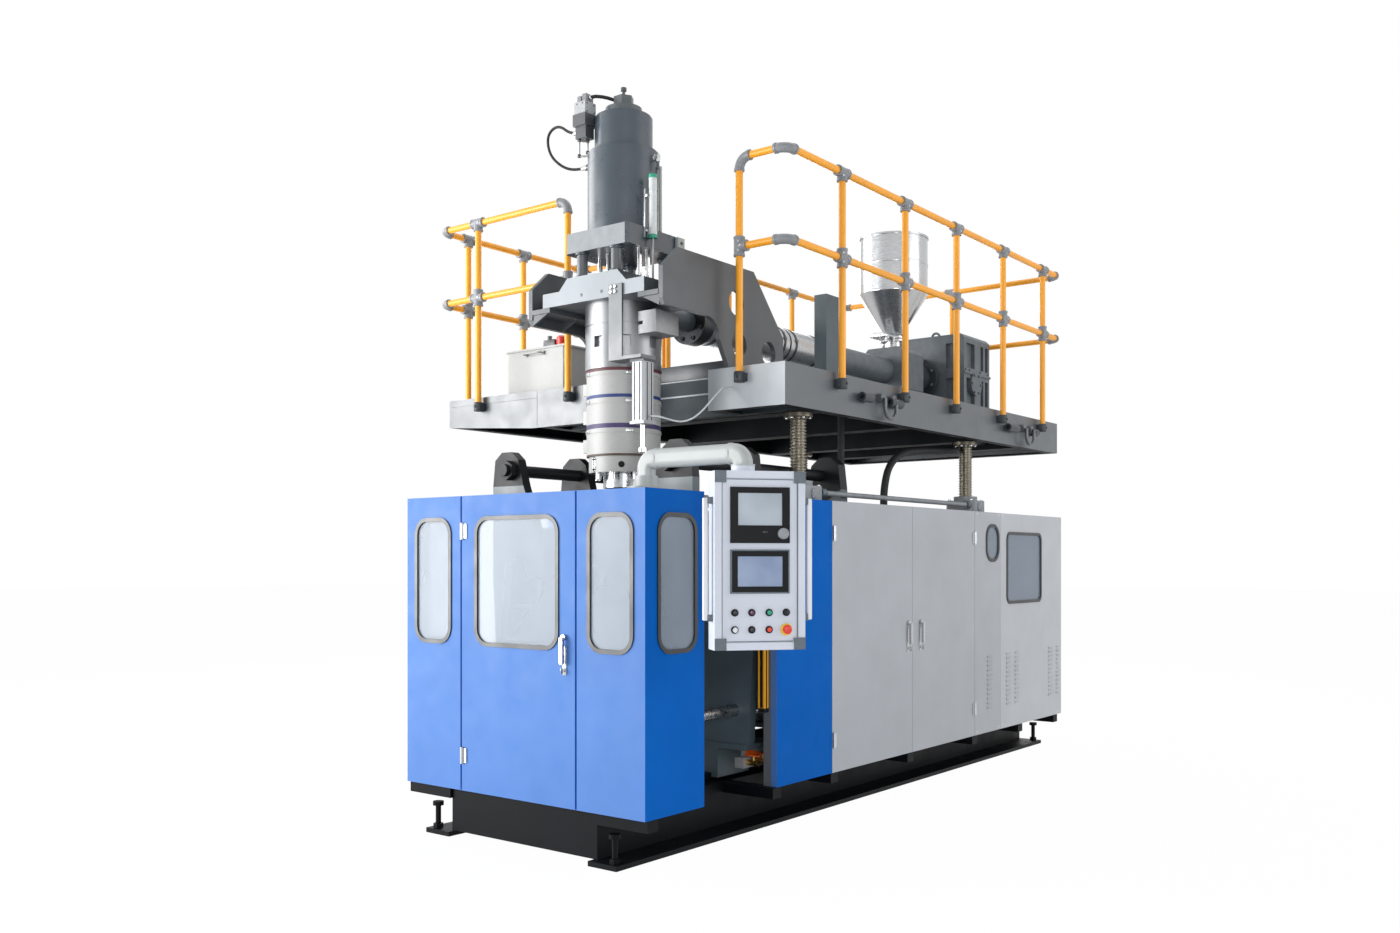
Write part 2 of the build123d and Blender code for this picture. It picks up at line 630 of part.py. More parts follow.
def lifting_links():
    """Pipe stubs with hanging U links on the right beam, for slinging the platform."""
    links = []
    for y in (-330, 1850):
        for offset in (-70, 70):
            links.append(bar((DECK_RIGHT, y + offset, 2520), (DECK_RIGHT + 36, y + offset, 2520), 30))
        path = FilletPolyline((DECK_RIGHT + 48, y - 70, 2520), (DECK_RIGHT + 48, y - 70, 2400),
                              (DECK_RIGHT + 48, y + 70, 2400), (DECK_RIGHT + 48, y + 70, 2520), radius=60)
        links.append(sweep(Plane(origin=path @ 0, z_dir=path % 0) * Circle(12), path=path))
    return links


def lift_screws():
    """Four lift screws hung from the platform, running down through the jacks."""
    screws = []
    for side in (-1, 1):
        for y in (JACK_FRONT_Y, JACK_REAR_Y):
            stem = post(side * JACK_X, y, 1560, DECK_BOTTOM, SCREW_RADIUS)
            flange = post(side * JACK_X, y, DECK_BOTTOM - 24, DECK_BOTTOM, 85)
            screws.append(stem + flange)
    keep("lift_screws", *screws)


# Handrails
RAIL_RIGHT = DECK_RIGHT + RAIL_OFFSET
RAIL_FRONT = DECK_FRONT - RAIL_OFFSET
RAIL_LEFT = WALK_LEFT - RAIL_OFFSET
RAIL_REAR = DECK_REAR - 68
RAIL_INNER = DECK_LEFT - RAIL_OFFSET
RAIL_WALK = WALK_REAR + RAIL_OFFSET
SOCKET_LOW = 2470
SOCKET_HIGH = 2640

RAIL_LINES = [
    [(608, RAIL_FRONT), (RAIL_RIGHT, RAIL_FRONT), (RAIL_RIGHT, -892), (RAIL_RIGHT, -122), (RAIL_RIGHT, 610),
     (RAIL_RIGHT, 1375), (RAIL_RIGHT, 2117), (RAIL_RIGHT, RAIL_REAR), (0, RAIL_REAR), (RAIL_INNER, RAIL_REAR),
     (RAIL_INNER, 1600), (RAIL_INNER, 700), (RAIL_INNER, RAIL_WALK)],
    [(RAIL_INNER - 40, RAIL_WALK), (RAIL_LEFT, RAIL_WALK), (RAIL_LEFT, -700), (RAIL_LEFT, -1236),
     (RAIL_LEFT, RAIL_FRONT), (-1574, RAIL_FRONT), (-735, RAIL_FRONT)],
]
CORNERS_WITHOUT_POST = [(RAIL_RIGHT, RAIL_FRONT), (RAIL_RIGHT, RAIL_REAR), (RAIL_INNER, RAIL_REAR),
                        (RAIL_LEFT, RAIL_FRONT), (RAIL_LEFT, RAIL_WALK)]
STUB = 56


def handrails():
    """Tube handrails: posts, knee rails and top rails that meet in key-clamp fittings."""
    tubes = []
    fittings = []
    for line in RAIL_LINES:
        for index, (x, y) in enumerate(line):
            near = [line[i] for i in (index - 1, index + 1) if 0 <= i < len(line)]
            has_post = (x, y) not in CORNERS_WITHOUT_POST
            for z in (RAIL_MID, RAIL_HIGH):
                fittings.append(clamp_fitting(x, y, z, near, has_post, z == RAIL_HIGH))
            if has_post:
                fittings.append(post_foot(x, y))
                tubes.append(post(x, y, SOCKET_HIGH, RAIL_MID - STUB, RAIL_RADIUS))
                tubes.append(post(x, y, RAIL_MID + STUB, RAIL_HIGH - STUB, RAIL_RADIUS))
        for first, second in zip(line, line[1:]):
            a, b = Vector(*first), Vector(*second)
            step = (b - a).normalized() * STUB
            for z in (RAIL_MID, RAIL_HIGH):
                lift = Vector(0, 0, z)
                tubes.append(bar(tuple(a + step + lift), tuple(b - step + lift), RAIL_RADIUS))
    keep("handrail_tubes", *tubes)
    keep("handrail_fittings", *fittings)


def post_foot(x, y):
    """Foot of a handrail post: a socket bolted to the face of its beam, or a flange on the deck."""
    sides = {(RAIL_RIGHT, None): (-1, 0), (None, RAIL_FRONT): (0, 1), (RAIL_INNER, None): (1, 0),
             (RAIL_LEFT, None): (1, 0), (None, RAIL_WALK): (0, -1)}
    if y == RAIL_REAR:
        return turned(x, y, (DECK_TOP, DECK_TOP + 10, 55), (DECK_TOP + 10, SOCKET_HIGH, FITTING_RADIUS))
    dx, dy = next(way for (px, py), way in sides.items() if px == x or py == y)
    socket = post(x, y, SOCKET_LOW, SOCKET_HIGH, FITTING_RADIUS)
    across_x, across_y = (RAIL_OFFSET, 70) if dx else (70, RAIL_OFFSET)
    lug = Pos(x + dx * RAIL_OFFSET / 2, y + dy * RAIL_OFFSET / 2, (SOCKET_LOW + DECK_TOP) / 2)
    return socket + lug * Box(across_x, across_y, DECK_TOP - SOCKET_LOW - 40)


def clamp_fitting(x, y, z, near, has_post, is_top):
    """Key-clamp fitting: round sockets towards each tube that ends in it."""
    centre = Vector(x, y, z)
    ways = [(Vector(*place, z) - centre).normalized() for place in near]
    if has_post:
        ways.append(Vector(0, 0, -1))
        if not is_top:
            ways.append(Vector(0, 0, 1))
    sockets = [bar(tuple(centre), tuple(centre + way * STUB), FITTING_RADIUS) for way in ways]
    runs_through = any((a + b).length < 0.1 for a in ways for b in ways)
    if runs_through:
        return fuse_all(sockets)
    return fuse_all([Pos(x, y, z) * Sphere(FITTING_RADIUS), *sockets])


# Head
BARREL_RADIUS = 220.5
CORE_BARREL_RADIUS = 170
COVER_RADIUS = 213
MAIN_RADIUS = 207.5
UPPER_RADIUS = 167.5
SHOULDER_Z = 4066
COLLAR_TOP = 4118
CAP_TOP = 4185
RAM_RADIUS = 15
RAM_PLACES = ((-150, -36), (-150, 36), (150, -36), (150, 36))
KNIFE_TOP = 2632
DIE_LOW = 1930


def gooseneck():
    """Plates that carry the head in front of the platform, each with a gusseted shelf."""
    x0 = GOOSE_X - GOOSE_THICK / 2
    edge = [(-1530, 2770), (DECK_FRONT, DECK_TOP), (-887, DECK_TOP), (-887, 2864), (-1196, 3213),
            (-1901, 3216),
            (-2036, 3094), (-2036, 2921), (-2022, 2886), (-1647, 2886)]
    line = Polyline(*[(x0, y, z) for y, z in edge])
    throat_radius = edge[0][0] - edge[-1][0]
    bulge = throat_radius * (1 - cos(radians(45)))
    throat = ThreePointArc((x0, *edge[-1]), (x0, edge[0][0] - bulge, edge[-1][1] - bulge), (x0, *edge[0]))
    side = extrude(make_face([line, throat]), amount=GOOSE_THICK, dir=(1, 0, 0))
    for y, z in ((-1368, 3001), (-1340, 2763), (-1042, 2753)):
        side -= bar((x0 - 5, y, z), (x0 + GOOSE_THICK + 5, y, z), 72)
    shelf = block(336, x0, -2039, -1510, SADDLE_Z - 27, SADDLE_Z)
    gusset = [(x0, SADDLE_Z - 27), (x0, SADDLE_Z - 86), (360, SADDLE_Z - 27)]
    gussets = [plate_xz(gusset, y, y + 16) for y in (-2030, -1790, -1540)]
    side = fuse_all([side, shelf, *gussets])
    keep("gooseneck_plates", side, mirrored(side))


def head_saddle():
    """Saddle block across the shelves, with the four posts of the ram cylinder and the knife bracket."""
    half = [(385, SADDLE_Z), (385, 3052), (255, 3052), (190, 3118)]
    outline = half + [(-x, z) for x, z in reversed(half)]
    saddle = plate_xz(outline, HEAD_Y - 270, HEAD_Y + 270)
    for x, y in RAM_PLACES:
        saddle -= post(x, HEAD_Y + y, SADDLE_Z - 1, 3200, RAM_RADIUS + RUNNING)
    posts = [post(x, HEAD_Y + y, 3118, CYLINDER_BASE, 31) for x in (-130, 130) for y in (-208, 208)]
    bracket = block(139, 235, -2056, HEAD_Y - 270, KNIFE_TOP, 3034)
    arm = block(139, 371, -2056, -1955, KNIFE_TOP - 18, KNIFE_TOP)
    arm += block(271, 371, -1955, -1930, KNIFE_TOP - 18, KNIFE_TOP)
    keep("head_saddle", fuse_all([saddle, *posts, bracket, arm]))


def ram_cylinder():
    """Main ram cylinder on its square plate, with the smaller core cylinder and its vent on top."""
    plate = block(-240, 240, HEAD_Y - 240, HEAD_Y + 240, CYLINDER_BASE, 3380)
    plate = chamfer(plate.edges().filter_by(Axis.Z), 20)
    body = turned(0, HEAD_Y, (3380, 3850, MAIN_RADIUS), (3850, 3862, MAIN_RADIUS - 12),
                  (3862, SHOULDER_Z - 10, UPPER_RADIUS), (SHOULDER_Z - 10, SHOULDER_Z, UPPER_RADIUS - 7),
                  (SHOULDER_Z, COLLAR_TOP, 105))
    cap = Pos(0, HEAD_Y, COLLAR_TOP) * extrude(RegularPolygon(60, 6), amount=CAP_TOP - COLLAR_TOP)
    vent = turned(0, HEAD_Y, (CAP_TOP, 4222, 9), (4222, 4241, 17))
    port = bar((-150, HOSE_END_Y, HOSE_END_Z), (-225, HOSE_END_Y, HOSE_END_Z), 18)
    whole = fuse_all([plate, body, cap, vent, port])
    for x, y in RAM_PLACES:
        whole -= post(x, HEAD_Y + y, CYLINDER_BASE - 1, 3800, RAM_RADIUS + RUNNING)
    keep("ram_cylinder", whole)
    keep("ram_rod", *[post(x, HEAD_Y + y, 3010, 3620, RAM_RADIUS) for x, y in RAM_PLACES])


def head_barrel():
    """Accumulator barrel, heated body, die ring with its bolts and die, bored for the core rod."""
    body = turned(0, HEAD_Y, (2850, SADDLE_Z, BARREL_RADIUS), (2842, 2850, BARREL_RADIUS - 5),
                  (2598, 2842, BARREL_RADIUS), (2104, 2598, CORE_BARREL_RADIUS), (2013, 2104, 200),
                  (DIE_LOW, 2013, 118))
    for angle in (0, 180, 225, 270, 315):
        slot = Pos(0, HEAD_Y, 2748) * Rot(0, 0, angle) * Pos(BARREL_RADIUS, 0, 0) * Box(50, 55, 63)
        body -= slot
    bolts = [post(158 * cos(radians(a)), HEAD_Y + 158 * sin(radians(a)), 1975, 2013, 17)
             for a in range(22, 382, 45)]
    body = fuse_all([body, *bolts])
    body -= post(0, HEAD_Y, DIE_LOW - 1, 2300, 62)
    body -= post(0, HEAD_Y, 2300, 2460, 30 + RUNNING)
    keep("head_barrel", body)
    core = turned(0, HEAD_Y, (1975, 2420, 30))
    tip = Pos(0, HEAD_Y, 1950) * Cone(52, 30, 50)
    keep("die_core", core + tip)
    bands = []
    for low, high in ((2110, 2268), (2278, 2435), (2445, 2594)):
        shell = post(0, HEAD_Y, low, high, COVER_RADIUS)
        shell -= post(0, HEAD_Y, low - 1, high + 1, CORE_BARREL_RADIUS)
        strap = post(0, HEAD_Y, high - 34, high - 14, COVER_RADIUS + 4)
        strap -= post(0, HEAD_Y, low - 1, high + 1, COVER_RADIUS)
        box = block(-COVER_RADIUS - 50, -150, HEAD_Y - 60, HEAD_Y + 60, low + 30, high - 50)
        bands.append(fuse_all([shell, strap, box - post(0, HEAD_Y, low - 1, high + 1, COVER_RADIUS)]))
    keep("heater_covers", *bands)


def head_fittings():
    """Servo valve, junction box, position sensor and the knife cylinder under its bracket."""
    valve = [block(-210, -130, -1955, -1885, 3940, 4008), block(-218, -120, -1970, -1868, 4008, 4076),
             block(-210, -126, -1964, -1874, 4076, 4146), block(-200, -172, -1950, -1890, 4146, 4184),
             block(-162, -132, -1950, -1890, 4146, 4192)]
    keep("servo_valve", fuse_all(valve) - post(0, HEAD_Y, 3000, SHOULDER_Z, UPPER_RADIUS))
    body = block(273, 369, -2028, -1932, 2275, 2598)
    caps = [block(271, 371, -2030, -1930, z0, z1) for z0, z1 in ((2259, 2275), (2598, 2614))]
    body = chamfer(body.edges().filter_by(Axis.Z), 14)
    knife = fuse_all([body, *caps]) - post(321, -1980, 2200, 2600, 14 + RUNNING)
    junction = block(190, 326, HEAD_Y - 100, HEAD_Y + 100, 2785, 2835)
    junction += block(190, 326, HEAD_Y - 100, HEAD_Y + 100, 2855, 2910)
    junction += block(230, 326, HEAD_Y - 100, HEAD_Y + 100, 2785, 2910)
    junction -= post(0, HEAD_Y, 2700, 3000, BARREL_RADIUS)
    sensor = turned(272, -1835, (3052, 3316, 6), (3316, 3336, 25), (3336, 3652, 23), (3652, 3672, 25))
    sensor += block(240, 262, -1847, -1823, 3322, 3366)
    keep("head_fittings", knife, junction, sensor)
    rod = post(321, -1980, 2130, 2470, 14) + post(321, -1980, 2107, 2130, 24)
    keep("knife_rod", rod)


# Extruder
FEED_TOP = 3160
GATE_Z = 3236
GEAR_FRONT = 1900
GEAR_REAR = 2375
GEAR_TOP = 3330
GEAR_STOREYS = ((2740, 2980), (3062, 3260))


def extruder():
    """Barrel with flanges, feed block and pedestal, silver covers, hopper with gate, gearbox and motor."""
    steps = [(-1400, -1180, 62), (-1180, -1090, 135), (-1090, 1250, 97), (1590, 1800, 120), (1800, 1850, 172),
             (1850, GEAR_FRONT, 140)]
    rounds = [bar((0, y0, EXTRUDER_Z), (0, y1, EXTRUDER_Z), radius) for y0, y1, radius in steps]
    feed = block(-170, 170, 1250, 1590, 2800, FEED_TOP)
    feed = chamfer(feed.edges().filter_by(Axis.Y), 40)
    pedestal = block(-120, 120, 1310, 1530, DECK_TOP, 2800)
    elbow = Pos(0, -1400, EXTRUDER_Z) * Sphere(62)
    drop = bar((0, -1400, EXTRUDER_Z), (0, -1600, 2760), 62) - post(0, HEAD_Y, 2600, SADDLE_Z, BARREL_RADIUS)
    barrel = fuse_all([*rounds, elbow, drop, feed, pedestal])
    barrel -= post(0, HOPPER_Y, EXTRUDER_Z, FEED_TOP + 1, 57)
    keep("extruder_barrel", barrel)
    covers = []
    for y0, y1 in ((-1050, -640), (-622, -212), (-194, 216)):
        shell = bar((0, y0, EXTRUDER_Z), (0, y1, EXTRUDER_Z), 114)
        for y in (y0 + 50, y1 - 70):
            shell += bar((0, y, EXTRUDER_Z), (0, y + 20, EXTRUDER_Z), 117)
        covers.append(shell - bar((0, y0 - 1, EXTRUDER_Z), (0, y1 + 1, EXTRUDER_Z), 97))
    keep("barrel_covers", *covers)
    hopper()
    gearbox()


def hopper():
    """Stainless hopper with cone, flanged throat and a slide gate between the flanges."""
    wall = 3
    profile = [(267, 4028), (267, 3586), (62, 3265), (62, 3259), (100, 3259),
               (100, GATE_Z + 12), (57, GATE_Z + 12),
               (57, 3265), (267 - wall, 3588), (267 - wall, 4028)]
    face = make_face(Polyline(*[(r, 0, z) for r, z in profile], close=True))
    shell = Pos(0, HOPPER_Y, 0) * revolve(face, Axis.Z)
    rim = post(0, HOPPER_Y, 4014, 4028, 275) - post(0, HOPPER_Y, 4000, 4030, 265)
    strips = [block(x, x + 15, HOPPER_Y - 60, HOPPER_Y + 60, GATE_Z, GATE_Z + 12) for x in (-97, 82)]
    throat = turned(0, HOPPER_Y, (FEED_TOP, 3224, 62), (3224, GATE_Z, 100))
    throat -= post(0, HOPPER_Y, 3000, 3300, 57)
    keep("hopper", fuse_all([shell, rim, *strips, throat]))
    plate = block(-80, 80, HOPPER_Y - 240, HOPPER_Y + 75, GATE_Z + 1, GATE_Z + 11)
    grip = bar((-45, HOPPER_Y - 225, GATE_Z + 20), (45, HOPPER_Y - 225, GATE_Z + 20), 13)
    keep("hopper_gate", plate + grip)


def gearbox():
    """Reduction gearbox with rectangular pockets, bearing caps and eye, and the flanged drive motor."""
    body = block(-369, 369, GEAR_FRONT, GEAR_REAR, DECK_TOP + 40, GEAR_TOP)
    body = chamfer(body.edges().filter_by(Axis.Y), 30)
    foot = block(-400, 400, GEAR_FRONT - 20, GEAR_REAR, DECK_TOP, DECK_TOP + 40)
    for side in (-1, 1):
        x0, x1 = sorted((side * 340, side * 370))
        for z0, z1 in GEAR_STOREYS:
            for y, width in ((GEAR_FRONT + 45, 150), (GEAR_FRONT + 305, 52), (GEAR_FRONT + 390, 52)):
                body -= block(x0, x1, y, y + width, z0, z1)
    for x in (-330, 210):
        for z0, z1 in GEAR_STOREYS:
            body -= block(x, x + 120, GEAR_FRONT - 1, GEAR_FRONT + 30, z0, z1)
    parting = block(-369, 380, GEAR_FRONT, GEAR_REAR + 2, 3012, 3030)
    cap = bar((330, GEAR_FRONT + 200, EXTRUDER_Z - 40), (385, GEAR_FRONT + 200, EXTRUDER_Z - 40), 95)
    eye = Pos(0, 2140, GEAR_TOP + 38) * Rot(90, 0, 0) * Torus(34, 10)
    stem = post(0, 2140, GEAR_TOP, GEAR_TOP + 8, 20)
    keep("gearbox", fuse_all([body, parting, foot, cap, stem, eye]))
    motor = bar((-369, 2140, 2930), (-399, 2140, 2930), 175) + bar((-399, 2140, 2930), (-880, 2140, 2930), 150)
    cowl = bar((-880, 2140, 2930), (-960, 2140, 2930), 160)
    terminal = block(-760, -580, 2070, 2210, 3060, 3150)
    keep("drive_motor", fuse_all([motor, cowl, terminal]))


BIN_TOP = 2945


def tool_bin():
    """Open stainless bin with a bail handle on the left walkway."""
    outer = block(-1520, -980, -1260, -860, DECK_TOP, BIN_TOP)
    outer = fillet(outer.edges().filter_by(Axis.Z), 15)
    inner = block(-1517, -983, -1257, -863, DECK_TOP + 3, BIN_TOP + 15)
    rim = block(-1530, -970, -1270, -850, BIN_TOP - 12, BIN_TOP)
    rim -= block(-1517, -983, -1257, -863, 2800, BIN_TOP + 15)
    grip_z = BIN_TOP - 40
    path = FilletPolyline((-1330, -1272, grip_z), (-1330, -1306, grip_z), (-1170, -1306, grip_z),
                          (-1170, -1272, grip_z), radius=20)
    handle = sweep(Plane(origin=path @ 0, z_dir=path % 0) * Circle(6), path=path)
    pads = [block(x - 12, x + 12, -1272, -1260, grip_z - 12, grip_z + 12) for x in (-1330, -1170)]
    keep("tool_bin", fuse_all([outer - inner, rim, handle, *pads]))


# Pendant
COLUMNS = (98, 180, 264, 348)
UPPER_ROW = 175
LOWER_ROW = 95
FRAME_WIDTH = 34
BUTTON_RADIUS = 11
BUTTON_LOW = 5
BUTTON_HIGH = 13
SCREENS = ((76, 364, 500, 762, (110, 329, 580, 737)), (80, 359, 268, 466, (108, 331, 294, 441)))


def pendant_wall():
    """Working plane of the pendant's front face, from its lower left corner."""
    nx, ny = PANEL_NORMAL
    along = Vector(-ny, nx, 0)
    corner = Vector(*PANEL_CENTRE, PANEL_LOW) + Vector(nx, ny, 0) * (PANEL_DEPTH / 2)
    corner -= along * (PANEL_WIDTH / 2)
    return facing(tuple(corner), tuple(along), (nx, ny, 0))


def on_pendant(u, v, w, shape):
    """Shape placed on the pendant's front face."""
    return pendant_wall() * Pos(u, v, w) * shape


def pad(u0, u1, v0, v1, w0, w1):
    """Block on the pendant's front face."""
    return on_pendant((u0 + u1) / 2, (v0 + v1) / 2, (w0 + w1) / 2, Box(u1 - u0, v1 - v0, w1 - w0))


def disc(u, v, w0, w1, radius):
    """Round piece on the pendant's front face."""
    return on_pendant(u, v, (w0 + w1) / 2, Cylinder(radius, w1 - w0))


def pendant_arm():
    """Roof flange, and the swivel arm: an oval tube that bends down at both ends."""
    x, y = PIVOT
    base = turned(x, y, (GUARD_TOP, GUARD_TOP + 20, 100), (GUARD_TOP + 20, 1930, 62))
    keep("pendant_base", base)
    lows = 1930 + RUNNING, 1960 + RUNNING
    rings = [post(*place, low, low + 8, 58) for place, low in zip((PIVOT, ELBOW), lows)]
    path = FilletPolyline((*PIVOT, lows[0] + 8), (*PIVOT, ARM_Z), (*ELBOW, ARM_Z), (*ELBOW, lows[1] + 8),
                          radius=52)
    reach = Vector(*ELBOW) - Vector(*PIVOT)
    section = Plane(origin=path @ 0, x_dir=reach, z_dir=(0, 0, 1)) * RectangleRounded(97, 74, 34)
    keep("pendant_arm", fuse_all([sweep(section, path=path), *rings]))


def pendant_box():
    """Control box with its edge profiles, swivel collar and side handles."""
    height = PANEL_HIGH - PANEL_LOW
    width = PANEL_WIDTH
    body = on_pendant(width / 2, height / 2, -PANEL_DEPTH / 2, Box(width, height, PANEL_DEPTH))
    body = fillet(body.edges().filter_by(Axis.Z), 18)
    frame = [pad(0, FRAME_WIDTH, 20, height - 20, 0, 8), pad(width - FRAME_WIDTH, width, 20, height - 20, 0, 8),
             pad(20, width - 20, 0, FRAME_WIDTH, 0, 8), pad(20, width - 20, height - FRAME_WIDTH, height, 0, 8)]
    collar = turned(*ELBOW, (PANEL_HIGH, 1960, 56))
    keep("pendant_box", fuse_all([body, *frame, collar]), *[side_handle(s) for s in (-1, 1)])


def side_handle(side):
    """Vertical grip tube beside the box, on two standoffs."""
    edge = PANEL_WIDTH / 2 + side * PANEL_WIDTH / 2
    out = edge + side * 34
    points = [(edge, 150), (out, 150), (out, 700), (edge, 700)]
    wall = pendant_wall()
    path = FilletPolyline(*[tuple((wall * Pos(u, v, -40)).position) for u, v in points], radius=20)
    return sweep(Plane(origin=path @ 0, z_dir=path % 0) * Circle(9), path=path)


def pendant_controls():
    """Displays, corner caps and control rings on the face, and the controls that move."""
    fixed = []
    for u0, u1, v0, v1, screen in SCREENS:
        fixed.append(pad(u0, u1, v0, v1, 0, 9) - pad(*screen, 6, 20))
    height = PANEL_HIGH - PANEL_LOW
    for u in (0, PANEL_WIDTH - 56):
        for v in (0, height - 56):
            cap = pad(u, u + 56, v, v + 56, 8, 12)
            fixed.append(cap)
    knob_u, knob_v = 330, 545
    moving = {
        "button_black_upper": (COLUMNS[0], UPPER_ROW), "button_green": (COLUMNS[2], UPPER_ROW),
        "button_black_lower": (COLUMNS[1], LOWER_ROW), "button_red": (COLUMNS[2], LOWER_ROW),
    }
    for name, (u, v) in moving.items():
        keep(name, disc(u, v, BUTTON_LOW, BUTTON_HIGH, BUTTON_RADIUS))
        fixed.append(disc(u, v, 0, 9, 16) - disc(u, v, -1, 20, BUTTON_RADIUS + RUNNING))
    lamp = COLUMNS[1], UPPER_ROW
    fixed.append(disc(*lamp, 0, 9, 16) + disc(*lamp, 9, 16, 12))
    for name, place in (("key_switch", (COLUMNS[3], UPPER_ROW)), ("selector_switch", (COLUMNS[0], LOWER_ROW))):
        fixed.append(disc(*place, 0, 9, 16))
        turn = disc(*place, 9 + RUNNING, 14, 12)
        keep(name, turn + pad(place[0] - 3, place[0] + 3, place[1] - 12, place[1] + 12, 14, 26))
    stop = COLUMNS[3], LOWER_ROW
    fixed.append(disc(*stop, 0, 6, 27) + disc(*stop, 6, 22, 12))
    head = disc(*stop, 17, 33, 22) - disc(*stop, 16, 28, 12 + RUNNING)
    keep("emergency_stop", head)
    keep("control_knob", disc(knob_u, knob_v, 9 + RUNNING, 24, 26.5))
    keep("pendant_displays", *fixed)


# Hoses
HOSE_ROUTES = {
    "servo_hose": (8, [(-210, -1920, 3990), (-275, -1920, 3990), (-385, -1918, 4075), (-485, -1912, 4036),
                       (-478, -1898, 3920), (-400, -1870, 3838), (-320, HOSE_END_Y, HOSE_END_Z),
                       (-225, HOSE_END_Y, HOSE_END_Z)]),
    "conduit_hose": (25, [(CONDUIT_X, CONDUIT_Y, 1690), (CONDUIT_X, CONDUIT_Y + 1, 1850),
                          (CONDUIT_X, CONDUIT_Y + 3, 2000), (598, 265, 2165), (591, 470, 2265),
                          (585, 790, 2300), (580, 1130, 2322), (577, 1420, 2355),
                          (575, 1640, 2440), (575, 1830, 2440)]),
    "cable_hose": (22, [(CABLE_X, CABLE_Y, 1690), (CABLE_X + 3, CABLE_Y + 3, 1900),
                        (CABLE_X - 3, CABLE_Y + 9, 2125),
                        (CABLE_X, CABLE_Y + 4, 2372), (CABLE_X, CABLE_Y + 4, DECK_TOP - DECK_PLATE)]),
    "air_tube": (5, [(371, -1980, 2300), (420, -1980, 2300), (460, -1935, 2282), (485, -1860, 2270),
                     (500, -1780, 2290), (510, -1700, 2340), (516, -1625, 2405), (519, -1555, 2465),
                     (520, -1497, 2505), (520, DECK_FRONT, 2505)]),
}


def hoses():
    """Free hoses and tubes as round tubes along runs that are joined by large arcs."""
    for name, (radius, points) in HOSE_ROUTES.items():
        ends = [Vector(*p) for p in points]
        radii = []
        for a, b, c in zip(ends, ends[1:], ends[2:]):
            half_turn = radians((b - a).get_angle(c - b)) / 2
            radii.append(0.45 * min((b - a).length, (c - b).length) / tan(half_turn))
        path = FilletPolyline(*points, radius=radii)
        tube = sweep(Plane(origin=path @ 0, z_dir=path % 0) * Circle(radius), path=path)
        ratio = tube.volume / (pi * radius ** 2 * path.length)
        print(name, "length", round(path.length), "least radius", round(min(radii)),
              "volume ratio", round(ratio, 4))
        keep(name, tube)


def build():
    """Make every piece and write one file for each node."""
    for section in (base_frame, front_guards, side_guards, cabinet_panels, windows, enclosure_frame,
                    light_curtains, doors, lift_jacks, cabinet_equipment, clamp, platform_frame, lift_screws,
                    handrails, gooseneck, head_saddle, ram_cylinder, head_barrel, head_fittings, extruder,
                    tool_bin, pendant_arm, pendant_box, pendant_controls, hoses):
        section()
    os.makedirs("parts", exist_ok=True)
    for name, shape in nodes.items():
        export_step(shape, f"parts/{name}.step")
    print(len(nodes), "nodes")


build()
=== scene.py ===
"""Looks for the accumulator-head blow moulding machine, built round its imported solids."""

import math

import bmesh
import bpy
from mathutils import Matrix, Vector


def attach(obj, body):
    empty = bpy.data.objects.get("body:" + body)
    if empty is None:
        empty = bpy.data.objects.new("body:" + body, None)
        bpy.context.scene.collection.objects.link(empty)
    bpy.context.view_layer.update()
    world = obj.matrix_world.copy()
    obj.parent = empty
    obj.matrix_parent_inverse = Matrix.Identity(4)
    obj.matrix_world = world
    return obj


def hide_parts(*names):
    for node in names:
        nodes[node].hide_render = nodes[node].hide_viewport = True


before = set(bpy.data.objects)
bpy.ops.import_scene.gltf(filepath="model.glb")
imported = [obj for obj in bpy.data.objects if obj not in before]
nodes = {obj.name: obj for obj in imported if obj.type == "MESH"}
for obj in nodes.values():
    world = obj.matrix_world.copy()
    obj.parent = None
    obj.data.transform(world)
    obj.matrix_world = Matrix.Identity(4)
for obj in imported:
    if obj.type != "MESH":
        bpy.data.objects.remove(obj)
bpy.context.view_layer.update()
scene = bpy.context.scene
scene.view_settings.view_transform = "Standard"

MM = 0.001
X_AXIS = Vector((1, 0, 0))
Y_AXIS = Vector((0, 1, 0))
Z_AXIS = Vector((0, 0, 1))


# Materials

def colour(code):
    """An sRGB hex colour as the linear value that a socket takes."""
    channels = [int(code[i : i + 2], 16) / 255 for i in (1, 3, 5)]
    linear = [c / 12.92 if c <= 0.04045 else ((c + 0.055) / 1.055) ** 2.4 for c in channels]
    return (*linear, 1.0)


def shade(code, factor):
    """The same hue, lighter or darker."""
    r, g, b, _ = colour(code)
    return (min(r * factor, 1), min(g * factor, 1), min(b * factor, 1), 1.0)


def shades(code, low, high):
    """A darker and a lighter shade of one colour."""
    return shade(code, low), shade(code, high)


def add(tree, kind, sockets=None, **settings):
    """One shader node, with its settings, values and links."""
    node = tree.nodes.new("ShaderNode" + kind)
    for name, value in settings.items():
        setattr(node, name, value)
    for name, value in (sockets or {}).items():
        if isinstance(value, bpy.types.NodeSocket):
            tree.links.new(value, node.inputs[name])
        else:
            node.inputs[name].default_value = value
    return node


EVEN = (1, 1, 1)


def blotches(tree, place, low, high, size, detail, stretch=EVEN, start=0.3, end=0.7):
    """Noise with blotches of about a size in metres, drawn out along an axis, spread over a range."""
    scaled = add(tree, "Mapping", {"Vector": place, "Scale": stretch}).outputs["Vector"]
    field = add(tree, "TexNoise", {"Vector": scaled, "Scale": 1 / size, "Detail": detail}).outputs["Fac"]
    sockets = {"Value": field, "From Min": start, "From Max": end, "To Min": low, "To Max": high}
    return add(tree, "MapRange", sockets).outputs["Result"]


